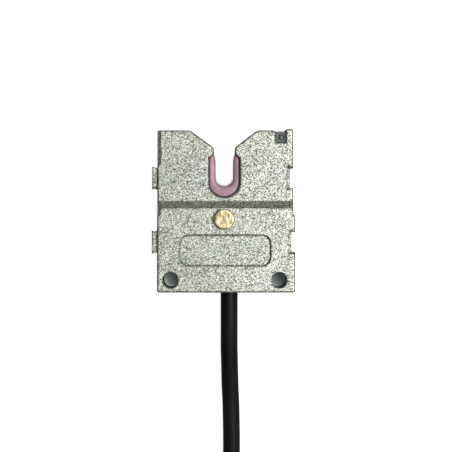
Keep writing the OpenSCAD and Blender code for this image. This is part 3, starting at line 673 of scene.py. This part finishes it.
def baked_copy(piece: Piece) -> Piece:
    """Replace a piece's modifiers by their result.

    Args:
        piece: An object with live modifiers.

    Returns:
        The same object with a plain mesh.
    """
    graph = bpy.context.evaluated_depsgraph_get()
    graph.update()
    mesh = bpy.data.meshes.new_from_object(piece.evaluated_get(graph), depsgraph=graph)
    piece.modifiers.clear()
    piece.data = mesh
    return piece


def dress(nodes: Sequence[str], finish: Finish) -> None:
    """Give carried CAD nodes a finish.

    Args:
        nodes: The nodes' names.
        finish: The finish that they share.
    """
    material = finish.build()
    for name in nodes:
        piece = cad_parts[name]
        piece.data.materials.clear()
        piece.data.materials.append(material)
        LOG.info("%s: %s", name, material.name)


def settle(piece: Piece, slot: Slot, *nodes: str) -> Piece:
    """Let a finished piece ride on the sensor in the place of its CAD nodes.

    Args:
        piece: The finished piece.
        slot: The record's slot for its finish; not used.
        *nodes: The CAD nodes that it replaces.

    Returns:
        The same piece.
    """
    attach(piece, "root")
    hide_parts(*nodes)
    LOG.info("%s: %d faces", piece.name, len(piece.data.polygons))
    return piece


@dataclass
class Casting:
    """The two halves of the die-cast housing and what seals and lines them up."""

    halves: tuple[str, ...] = ("front_housing", "rear_housing")
    rubber: tuple[str, ...] = ("housing_seal", "cable_collar", "guide_sleeve")
    pins: tuple[str, ...] = ("locating_pins",)

    def build(self) -> None:
        """Dress the halves, the seal, the collar, the sleeve and the pins."""
        dress(self.halves, CastZinc())
        # Moulded rubber: nearly black, quite dull and a little uneven
        dress(self.rubber, Moulded("moulded_nitrile_rubber", "#2c292e", "#403c42", roughness=0.6,
                                   texture_mm=0.3, relief_mm=0.02))
        # Ground steel: a clean bright grey
        dress(self.pins, Plated("ground_steel_pin", "#c9cbcd", "#9fa2a4"))


@dataclass
class CoverScrew:
    """The brass hexagon screw that holds the halves together, with a low head and worn corners.

    The levels are the heights of the head's rings as shares of its own height, closer together where it bends
    in. The crown's rings lie at shares of the rim's radius. The sharpness of the corners is per millimetre.
    """

    head_mm: float = 1.8
    corner_share: float = 0.96
    corner_sharpness: float = 14.0
    chamfer_mm: float = 0.24
    chamfer_slope: float = 1.3
    edge_mm: float = 0.12
    edge_from: float = 0.94
    crown_mm: float = 0.02
    around: int = 120
    levels: tuple[float, ...] = (0.0, 0.35, 0.62, 0.7, 0.76, 0.82, 0.87, 0.91, 0.945, 0.97, 0.985, 1.0)
    crown_shares: tuple[float, ...] = (0.8, 0.5, 0.2)
    shank_r_mm: float = 1.45
    shank_sides: int = 32
    shank_into_mm: float = 0.05
    smooth_deg: float = 50.0

    def radius(self, angle: float, level: float, across: float) -> float:
        """Give the head's radius at an angle and a height.

        Args:
            angle: Direction round the axis in radians.
            level: Height above the washer face as a share of the head's height.
            across: Half the distance across the flats.

        Returns:
            Radius in metres, with the corners rounded, the top chamfered and its edge broken.
        """
        turn = (angle % (math.pi / 3)) - math.pi / 6
        flat = across / math.cos(turn)
        corner = across / math.cos(math.pi / 6) * self.corner_share
        depth = max(0.0, level - 1 + self.chamfer_mm / self.head_mm) * self.head_mm * MM
        cone = corner - self.chamfer_slope * depth
        sharp = self.corner_sharpness / MM
        fall = max(0.0, level - self.edge_from) / (1 - self.edge_from)
        shrink = self.edge_mm * MM * (1 - math.sqrt(max(0.0, 1 - fall * fall)))
        return -math.log(math.exp(-sharp * flat) + math.exp(-sharp * cone)) / sharp - shrink

    def head(self, centre: Vector, across: float, top: float) -> list[Route]:
        """Lay the rings of the head, from the washer face up and then in over the crown.

        Args:
            centre: A point of the screw's axis.
            across: Half the distance across the flats.
            top: Height of the crown.

        Returns:
            The rings.
        """
        base = top - self.head_mm * MM
        turns = [2 * math.pi * k / self.around for k in range(self.around)]
        rings = []
        for level in self.levels:
            height = base + level * self.head_mm * MM
            sizes = [self.radius(turn, level, across) for turn in turns]
            rings.append([(centre.x + size * math.cos(turn), centre.y + size * math.sin(turn), height)
                          for size, turn in zip(sizes, turns)])
        rim = rings[-1]
        for share in self.crown_shares:
            height = top - self.crown_mm * MM * (1 - share)
            rings.append([(centre.x + share * (x - centre.x), centre.y + share * (y - centre.y), height)
                          for x, y, _ in rim])
        return rings

    def build(self) -> Piece:
        """Build the head and the shank.

        Returns:
            The screw.
        """
        low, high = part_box("cover_screw")
        centre = (low + high) / 2
        points, faces = rings_mesh(self.head(centre, (high.y - low.y) / 2, high.z))
        shank_top = high.z - (self.head_mm - self.shank_into_mm) * MM
        circle = arc((centre.x, centre.y), self.shank_r_mm * MM, 0, 360, self.shank_sides)[:-1]
        more_points, more_faces = rings_mesh([[(x, y, z) for x, y in circle] for z in (low.z, shank_top)])
        faces += [[index + len(points) for index in face] for face in more_faces]
        piece = make_mesh("brass_screw", points + more_points, faces, WornBrass().build(), self.smooth_deg)
        return settle(piece, Slot.BRASS, "cover_screw")


@dataclass
class YarnGuide:
    """The U-shaped ceramic insert that the yarn runs through, with the foot that presses on the bender.

    Lengths and places are in millimetres. At the tips of the arms the slot widens by the flare: it starts
    flare_end under the seat's top, and at flare_drop under the tip there is flare_left of it.
    """

    slot_x: float = -0.12
    slot_w: float = 5.1
    floor_y: float = 27.4
    floor_r: float = 2.3
    arm: float = 1.7
    base: float = 3.1
    seat_top: float = 35.3
    lip_rise: float = 1.35
    lip_gap: float = 0.12
    flare: float = 0.42
    flare_left: float = 0.4
    flare_drop: float = 0.8
    flare_end: float = 0.6
    arm_drop: float = 0.1
    bottom_flat: float = 0.05
    mouth_round: float = 1.25
    mouth_depth: float = 0.95
    rim: float = 0.22
    mouth_steps: int = 8
    corner_steps: int = 14
    bottom_steps: int = 28
    foot_side: float = 3.0
    foot_into: float = 0.5
    foot_z: float = 0.95
    smooth_deg: float = 60.0
    foot_smooth_deg: float = 35.0

    def outline(self, widen: float, shrink: float) -> list[Flat]:
        """Give the U in plan, anticlockwise from the top of the left arm.

        Args:
            widen: How far the slot's wall lies outside the narrowest slot.
            shrink: How far the outside lies within the full outline.

        Returns:
            Points in millimetres.
        """
        half = self.slot_w / 2 + widen
        outer = self.slot_w / 2 + self.arm - shrink
        tip = self.seat_top + self.lip_rise - self.lip_gap - shrink
        floor = self.floor_y - widen
        floor_r = self.floor_r + widen
        flare = self.flare * max(0.0, 1 - widen / self.mouth_round)
        edge = [(half, self.seat_top - self.flare_end),
                (half + self.flare_left * flare, tip - self.flare_drop),
                (half + flare, tip)]
        inner = [(-x, y) for x, y in reversed(edge)]
        inner += arc((-half + floor_r, floor + floor_r), floor_r, 180, 270, self.corner_steps)
        inner += arc((half - floor_r, floor + floor_r), floor_r, 270, 360, self.corner_steps)
        bottom = self.floor_y - self.base + shrink
        round_r = outer - self.bottom_flat
        outside = [(outer, self.seat_top - self.arm_drop)]
        outside += arc((outer - round_r, bottom + round_r), round_r, 0, -90, self.bottom_steps)
        outside += arc((-outer + round_r, bottom + round_r), round_r, 270, 180, self.bottom_steps)
        outside += [(-outer, self.seat_top - self.arm_drop)]
        return [(x + self.slot_x, y) for x, y in inner + edge + outside]

    def build(self) -> Piece:
        """Build the insert and its foot.

        Returns:
            The guide.
        """
        low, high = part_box("yarn_guide")
        top = []
        for k in range(self.mouth_steps + 1):
            turn = math.radians(90 * k / self.mouth_steps)
            widen = self.mouth_round * (1 - math.cos(turn))
            shrink = self.rim * (1 - math.cos(2 * turn - math.pi / 2)) if turn > math.pi / 4 else 0.0
            top.append((widen, shrink, high.z - self.mouth_depth * MM * (1 - math.sin(turn))))
        levels = [(widen, shrink, low.z + high.z - z) for widen, shrink, z in reversed(top)] + top
        rings = [[(x * MM, y * MM, z) for x, y in self.outline(widen, shrink)] for widen, shrink, z in levels]
        piece = make_mesh("ceramic_guide", *rings_mesh(rings), SinteredCeramic().build(), self.smooth_deg)
        self.add_foot(piece, low, high)
        return settle(piece, Slot.CERAMIC, "yarn_guide")

    def add_foot(self, piece: Piece, low: Vector, high: Vector) -> None:
        """Join the square foot to the insert.

        Args:
            piece: The insert.
            low: Lowest corner of the guide's box.
            high: Highest corner of the guide's box.
        """
        foot = bpy.data.meshes.new("guide_foot")
        shell = bmesh.new()
        bmesh.ops.create_cube(shell, size=1.0)
        foot_top = (self.floor_y - self.base + self.foot_into) * MM
        for vertex in shell.verts:
            vertex.co.x = self.slot_x * MM + vertex.co.x * self.foot_side * MM
            vertex.co.y = low.y if vertex.co.y < 0 else foot_top
            vertex.co.z = (low.z + high.z) / 2 + self.foot_z * MM + vertex.co.z * self.foot_side * MM
        shell.from_mesh(piece.data)
        shell.to_mesh(foot)
        shell.free()
        foot.materials.append(piece.data.materials[0])
        piece.data = foot
        foot.shade_smooth()
        foot.set_sharp_from_angle(angle=math.radians(self.foot_smooth_deg))


@dataclass
class SignalLamp:
    """The small lamp in the corner pocket, its holder and its legs."""

    lip_mm: float = 0.45
    edge_mm: float = 0.12
    edge_segments: int = 2
    edge_from_deg: float = 50.0
    smooth_deg: float = 30.0
    near_mm: float = 0.01

    def build(self) -> None:
        """Dress the lamp and its legs, and build the holder."""
        dress(("signal_lamp",), ClearLens())
        # Tinned wire: a bright, slightly grey metal
        dress(("lamp_legs",), Plated("tinned_copper_wire", "#c8cacb", "#9b9d9e"))
        self.build_holder()

    def build_holder(self) -> Piece:
        """Build the holder: the CAD block with softened edges and a lip that closes the pocket's open side.

        Returns:
            The holder.
        """
        # Moulded nylon: dark grey, satin, with soft edges
        nylon = Moulded("moulded_nylon_grey", "#4c504f", "#626665", roughness=0.5, texture_mm=0.3,
                        relief_mm=0.03, edge_mm=0.15).build()
        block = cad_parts["lamp_holder"].data
        open_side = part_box("lamp_holder")[1].y - self.near_mm * MM
        points = []
        for vertex in block.vertices:
            x, y, z = vertex.co
            points.append((x, y + self.lip_mm * MM if y > open_side else y, z))
        piece = make_mesh("lamp_bezel", points, [p.vertices for p in block.polygons], nylon, self.smooth_deg)
        softened = piece.modifiers.new("softened", "BEVEL")
        softened.width = self.edge_mm * MM
        softened.segments = self.edge_segments
        softened.limit_method = "ANGLE"
        softened.angle_limit = math.radians(self.edge_from_deg)
        return settle(baked_copy(piece), Slot.HOLDER, "lamp_holder")


@dataclass
class Electronics:
    """The piezo bender and the board with its parts, which the closed housing hides."""

    finishes: tuple[tuple[tuple[str, ...], Finish], ...] = (
        # Rolled strip: a satin yellow with faint marks
        (("bender_shim",),
         Plated("rolled_brass_strip", "#cfae66", "#a98a4a", roughness=0.32)),
        # Fired silver paint: pale and matt, a little uneven
        (("bender_ceramic",),
         Moulded("fired_silver_electrode", "#c9c5b6", "#dedac9", roughness=0.4, texture_mm=0.2)),
        # Extruded insulation: a smooth dark red
        (("bender_wires",),
         Moulded("extruded_red_insulation", "#8d2a20", "#a8382b", roughness=0.35, texture_mm=0.3)),
        # Solder resist: a glossy green lacquer, a little uneven over the laminate
        (("circuit_board",),
         Moulded("solder_resist_on_laminate", "#1f5a35", "#2a6b40", roughness=0.35, texture_mm=0.8)),
        # Zinc plate: a cool, bright grey
        (("board_screws",),
         Plated("zinc_plated_steel", "#b9bcc0", "#8e9194")),
        # Filled epoxy: nearly black and matt
        (("amplifier_chip", "comparator_chip", "voltage_regulator", "chip_resistors"),
         Moulded("moulded_epoxy_chip", "#1d1f21", "#2a2c2e", roughness=0.55, texture_mm=0.12)),
        # Fired dielectric: a smooth tan
        (("chip_capacitors",),
         Moulded("fired_dielectric_tan", "#94754a", "#a98a5c", roughness=0.4, texture_mm=0.3)),
        # Yellow epoxy: satin, with slightly lighter clouds
        (("storage_capacitor",),
         Moulded("moulded_yellow_epoxy", "#b98a1f", "#cc9d31", roughness=0.45, texture_mm=0.3)),
        # Solder: very bright where it set smooth
        (("solder_joints",),
         Plated("tin_solder", "#cfd0d1", "#a3a5a6", roughness=0.22)),
        # Extruded cores: smooth plastic in plain colours
        (("supply_core",),
         Moulded("extruded_brown_core", "#4c2c17", "#5d3820", roughness=0.35, texture_mm=0.3)),
        (("ground_core",),
         Moulded("extruded_blue_core", "#1c4a94", "#2658a6", roughness=0.35, texture_mm=0.3)),
        (("signal_core",),
         Moulded("extruded_black_core", "#151617", "#202224", roughness=0.35, texture_mm=0.3)))

    def build(self) -> None:
        """Dress each inner piece."""
        for nodes, finish in self.finishes:
            dress(nodes, finish)


def smooth_path(route: Sequence[Sequence[float]], steps: int) -> list[Vector]:
    """Pass a smooth line through a route's points.

    Args:
        route: Points in the order that the line passes them.
        steps: Number of short pieces between two points.

    Returns:
        The line's points.
    """
    knots = [Vector(p) for p in route]
    knots = [2 * knots[0] - knots[1], *knots, 2 * knots[-1] - knots[-2]]
    line = []
    for i in range(1, len(knots) - 2):
        before, start, end, after = knots[i - 1:i + 3]
        for k in range(steps):
            t = k / steps
            bend = (2 * before - 5 * start + 4 * end - after) * t * t
            swing = (3 * start - before - 3 * end + after) * t ** 3
            line.append(0.5 * (2 * start + (end - before) * t + bend + swing))
    return [*line, knots[-2]]


def sweep_tree(name: str) -> bpy.types.GeometryNodeTree:
    """Build the tree that sweeps a round section along a line of edges.

    Args:
        name: The tree's name.

    Returns:
        The tree, with inputs for the radius, the number of sides and the finish.
    """
    tree = bpy.data.node_groups.new(name, "GeometryNodeTree")
    for label, kind in (("Line", "Geometry"), ("Radius", "Float"), ("Sides", "Int"), ("Finish", "Material")):
        tree.interface.new_socket(label, in_out="INPUT", socket_type="NodeSocket" + kind)
    tree.interface.new_socket("Tube", in_out="OUTPUT", socket_type="NodeSocketGeometry")
    given = add(tree, "NodeGroupInput")
    curve = add(tree, "GeometryNodeMeshToCurve", {"Mesh": given["Line"]})[0]
    section = add(tree, "GeometryNodeCurvePrimitiveCircle", {"Resolution": given["Sides"],
                                                             "Radius": given["Radius"]})[0]
    tube = add(tree, "GeometryNodeCurveToMesh", {"Curve": curve, "Profile Curve": section,
                                                 "Fill Caps": True})[0]
    smooth = add(tree, "GeometryNodeSetShadeSmooth", [tube])[0]
    real = add(tree, "GeometryNodeRealizeInstances", [smooth])[0]
    finished = add(tree, "GeometryNodeSetMaterial", {"Geometry": real, "Material": given["Finish"]})[0]
    add(tree, "NodeGroupOutput", {"Tube": finished})
    return tree


def swept_tube(name: str, line: Sequence[Vector], radius: float, sides: int, material: Material) -> Piece:
    """Sweep a round tube along a line.

    Args:
        name: The piece's name.
        line: The tube's centreline in metres.
        radius: The tube's radius in metres.
        sides: Number of faces round the tube.
        material: The tube's finish.

    Returns:
        The tube as a plain mesh object.
    """
    mesh = bpy.data.meshes.new(name)
    mesh.from_pydata([tuple(p) for p in line], [(i, i + 1) for i in range(len(line) - 1)], [])
    piece = bpy.data.objects.new(name, mesh)
    bpy.context.scene.collection.objects.link(piece)
    modifier = piece.modifiers.new("sweep", "NODES")
    tree = sweep_tree(name + "_sweep")
    modifier.node_group = tree
    values = {"Radius": radius, "Sides": sides, "Finish": material}
    for socket in tree.interface.items_tree:
        if socket.name in values:
            modifier[socket.identifier] = values[socket.name]
    baked_copy(piece)
    shell = bmesh.new()
    shell.from_mesh(piece.data)
    bmesh.ops.recalc_face_normals(shell, faces=shell.faces)
    shell.to_mesh(piece.data)
    shell.free()
    return piece


def ease(turn: float, start: float, span: float) -> float:
    """Go smoothly from 0 to 1.

    Args:
        turn: Where the line is, in turns.
        start: Where the change starts, in turns.
        span: How long the change takes, in turns.

    Returns:
        The share of the change that is done.
    """
    t = min(1.0, max(0.0, (turn - start) / span))
    return t * t * (3 - 2 * t)


@dataclass
class Cable:
    """The fixed cable: straight out of the housing, down to the table and along it, one and a half turns that
    are wound up and tied, and a plug.

    Lengths and places are in metres. Each span of the coil holds the turn at which a change starts and the
    turns that it takes.
    """

    diameter: float = 5 * MM
    length: float = 0.33
    inside: Point = (0.0013, 0.0014, 0.00715)
    exit: Point = (0.0013, -0.0036, 0.00715)
    lead: Route = field(default_factory=lambda: [
        (0.0013, -0.008, 0.00715), (0.0013, -0.012, 0.0071), (0.0013, -0.016, 0.0068),
        (0.0013, -0.020, 0.0062), (0.0014, -0.024, 0.0053), (0.0015, -0.028, 0.0043),
        (0.0016, -0.032, 0.0034), (0.0018, -0.036, 0.0028), (0.0019, -0.040, 0.0025),
        (0.0020, -0.046, 0.0025), (0.0020, -0.052, 0.0025), (0.0020, -0.058, 0.0025),
        (0.0020, -0.064, 0.0025), (0.0020, -0.070, 0.0027), (0.0020, -0.076, 0.0030)])
    tail: Route = field(default_factory=lambda: [
        (-0.048, -0.086, 0.0044), (-0.048, -0.085, 0.0044), (-0.048, -0.084, 0.0045),
        (-0.048, -0.083, 0.0045)])
    coil_centre: Flat = (-0.0204, -0.087)
    outer_r: float = 0.0276
    inner_r: float = 0.0224
    turn_z: float = 0.0030
    crossing_z: float = 0.0077
    plug_z: float = 0.0044
    turns: float = 1.5
    outward: Span = (0.6, 0.28)
    climb: Span = (0.68, 0.18)
    drop: Span = (0.93, 0.13)
    rise: Span = (1.3, 0.2)
    steps_per_turn: int = 24
    steps_per_point: int = 4
    sides: int = 20
    tie_angle: float = 300.0
    tie_w: float = 0.008
    tie_t: float = 0.0005
    tie_steps: int = 16
    tie_smooth_deg: float = 50.0

    def coil(self) -> Route:
        """Wind the turns, clockwise.

        Returns:
            Points round the coil: an inner turn that climbs over the lead and drops outside it, and half a
            turn round that, which rises to the plug.
        """
        points = []
        for k in range(round(self.turns * self.steps_per_turn)):
            turn = k / self.steps_per_turn
            over = ease(turn, *self.climb) * (1 - ease(turn, *self.drop))
            radius = self.inner_r + (self.outer_r - self.inner_r) * ease(turn, *self.outward)
            height = self.turn_z + (self.crossing_z - self.turn_z) * over
            height += (self.plug_z - self.turn_z) * ease(turn, *self.rise)
            angle = -math.tau * turn
            points.append((self.coil_centre[0] + radius * math.cos(angle),
                           self.coil_centre[1] + radius * math.sin(angle), height))
        return points

    def build(self) -> None:
        """Build the cable and its tie, and dress the plug."""
        # Extruded PVC: black, nearly matt, with a faint grain along the cable
        jacket = Moulded("extruded_pvc_jacket", "#0c0d0f", "#16181a", roughness=0.5, texture_mm=0.6,
                         relief_mm=0.02, stretch=(1.0, 0.35, 1.0), gloss=0.12)
        route = [self.inside, self.exit, *self.lead, *self.coil(), *self.tail]
        line = smooth_path(route, self.steps_per_point)
        LOG.info("cable: %.4f m", sum((b - a).length for a, b in zip(line, line[1:])))
        cable = swept_tube("sensor_cable", line, self.diameter / 2, self.sides, jacket.build())
        settle(cable, Slot.JACKET, "cable_lead", "cable_coil", "cable_tail")
        tie = self.build_tie()
        plug = self.dress_plug()

    def build_tie(self) -> Piece:
        """Wrap the hook-and-loop tie round the two turns where they lie side by side.

        Returns:
            The tie.
        """
        bend = (self.diameter + self.tie_t) / 2
        path = [(self.outer_r, r, z) for r, z in arc((0, 0), bend, -90, 90, self.tie_steps)]
        path += [(self.inner_r, r, z) for r, z in arc((0, 0), bend, 90, 270, self.tie_steps)]
        angle = math.radians(self.tie_angle)
        along = Vector((math.cos(angle), math.sin(angle), 0))
        across = Vector((-math.sin(angle), math.cos(angle), 0))
        centre = Vector((*self.coil_centre, 0))
        rings = []
        for core, r, z in path:
            out = Vector((r, z)).normalized() * self.tie_t / 2
            ring = []
            for side, depth in ((-1, -1), (1, -1), (1, 1), (-1, 1)):
                place = centre + along * (core + r + out.x * depth) + across * side * self.tie_w / 2
                ring.append((place.x, place.y, max(0.0, self.turn_z + z + out.y * depth)))
            rings.append(ring)
        tie = WovenTie().build()
        piece = make_mesh("coil_strap", *rings_mesh(rings, closed=True), tie, self.tie_smooth_deg)
        layer = piece.data.uv_layers.new(name=WEAVE_MAP)
        for loop in piece.data.loops:
            place = piece.data.vertices[loop.vertex_index].co
            local = place - centre
            layer.data[loop.index].uv = (local.dot(across), local.dot(along) + place.z)
        return settle(piece, Slot.TIE, "coil_tie")

    def dress_plug(self) -> list[Piece]:
        """Dress the plug's pieces.

        Returns:
            The plug's objects.
        """
        # Moulded PVC: black and satin, with soft edges
        dress(("plug_body", "plug_carrier"),
              Moulded("moulded_pvc_plug", "#191a1c", "#26282a", roughness=0.5, texture_mm=0.3,
                      relief_mm=0.03, edge_mm=0.15))
        # Nickel plate: a warm, bright grey
        dress(("plug_sleeve",), Plated("nickel_plated_sleeve", "#c4c5c2", "#9d9e9b", roughness=0.25))
        # Gold flash: a thin, even yellow
        dress(("plug_pins",), Plated("gold_flashed_pin", "#d8b55a", "#b08d3c", roughness=0.22))
        return [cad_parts[name] for name in ("plug_body", "plug_sleeve", "plug_carrier", "plug_pins")]


@dataclass(frozen=True)
class SoftLamp:
    """An area lamp that faces the part.

    Its tilt is in degrees from straight above, its turn in degrees from +X in plan, its power in watts, and
    its size and reach in metres.
    """

    name: str
    tilt: float
    turn: float
    power: float
    size: Flat
    reach: float = 0.3

    def hang(self, target: Vector) -> None:
        """Hang the lamp.

        Args:
            target: The point that the lamp faces.
        """
        data = bpy.data.lights.new(self.name, "AREA")
        data.shape = "RECTANGLE"
        data.size, data.size_y = self.size
        data.energy = self.power
        tilt, turn = math.radians(self.tilt), math.radians(self.turn)
        ray = Vector((math.sin(tilt) * math.cos(turn), math.sin(tilt) * math.sin(turn), math.cos(tilt)))
        lamp = bpy.data.objects.new(self.name, data)
        lamp.location = target + ray * self.reach
        lamp.rotation_mode = "QUATERNION"
        lamp.rotation_quaternion = ray.to_track_quat("Z", "Y")
        bpy.context.scene.collection.objects.link(lamp)


@dataclass
class Studio:
    """A white table, a soft lamp from the right, a weak one from the far side, and a camera straight above.

    The weak lamp lights the fillet at the foot of the block's shoulder. Lengths are in metres where their
    names don't say otherwise.
    """

    image_px: int = 452
    mm_per_px: float = 0.2892
    look_at: Flat = (0.00038, 0.01569)
    distance: float = 0.55
    face_z: float = 0.015
    sensor_mm: float = 36.0
    table_half: float = 2.0
    table_drop: float = 0.05 * MM
    lamps: tuple[SoftLamp, ...] = (
        SoftLamp("key_lamp", tilt=30.0, turn=-4.0, power=0.57, size=(0.12, 0.1)),
        SoftLamp("far_lamp", tilt=34.0, turn=82.0, power=0.08, size=(0.06, 0.06)))
    room: Stops = ((0.5, "#3e403f"), (0.88, "#d8d8d8"))
    lean_over: Span = (-0.42, 0.22)
    lean: Span = (0.1, 1.6)

    def build(self) -> None:
        """Make the camera, the table, the lamps and the world."""
        self.set_camera()
        self.lay_table()
        for lamp in self.lamps:
            lamp.hang(Vector((*self.look_at, 0.0)))
        self.make_room()
        bpy.context.scene.view_settings.view_transform = "Standard"

    def set_camera(self) -> None:
        """Set the camera straight above the part, as far off as the photograph's."""
        data = bpy.data.cameras.new("camera")
        data.sensor_width = self.sensor_mm
        data.lens = self.sensor_mm * self.distance / (self.image_px * self.mm_per_px * MM)
        camera = bpy.data.objects.new("camera", data)
        camera.location = (*self.look_at, self.face_z + self.distance)
        bpy.context.scene.collection.objects.link(camera)
        bpy.context.scene.camera = camera

    def lay_table(self) -> None:
        """Lay the white table, which keeps the part's shadow."""
        half = self.table_half
        corners = [(x * half, y * half, -self.table_drop) for x, y in ((-1, -1), (1, -1), (1, 1), (-1, 1))]
        mesh = bpy.data.meshes.new("table_top")
        mesh.from_pydata(corners, [], [(0, 1, 2, 3)])
        mesh.materials.append(WhiteTable().build())
        table = bpy.data.objects.new("table_top", mesh)
        bpy.context.scene.collection.objects.link(table)

    def make_room(self) -> None:
        """Make the room: white to the eye, and to the part pale above and grey around, darker on the left."""
        world = bpy.data.worlds.new("room")
        bpy.context.scene.world = world
        world.use_nodes = True
        tree = world.node_tree
        tree.nodes.clear()
        way = add(tree, "ShaderNodeSeparateXYZ", [add(tree, "ShaderNodeTexCoord")["Generated"]])
        ceiling = add(tree, "ShaderNodeValToRGB", [way["Z"]], self.room)["Color"]
        side = add(tree, "ShaderNodeMapRange", [way["X"], *self.lean_over, *self.lean])["Result"]
        room = add(tree, "ShaderNodeMix", {0: 1.0, 6: ceiling, 7: side}, data_type="RGBA",
                   blend_type="MULTIPLY")[2]
        colour = add(tree, "ShaderNodeMix", {0: to_the_eye(tree), 6: room, 7: (1, 1, 1, 1)},
                     data_type="RGBA")[2]
        back = add(tree, "ShaderNodeBackground", {"Color": colour, "Strength": 1.0})[0]
        add(tree, "ShaderNodeOutputWorld", {"Surface": back})


def main() -> None:
    """Build the studio, then dress and build each sub-assembly."""
    logging.basicConfig(level=logging.INFO, format="%(name)s %(message)s")
    Studio().build()
    for part in (Cable(), Casting(), CoverScrew(), YarnGuide(), SignalLamp(), Electronics()):
        part.build()
        LOG.info("%s done", type(part).__name__)


if __name__ == "__main__":
    main()
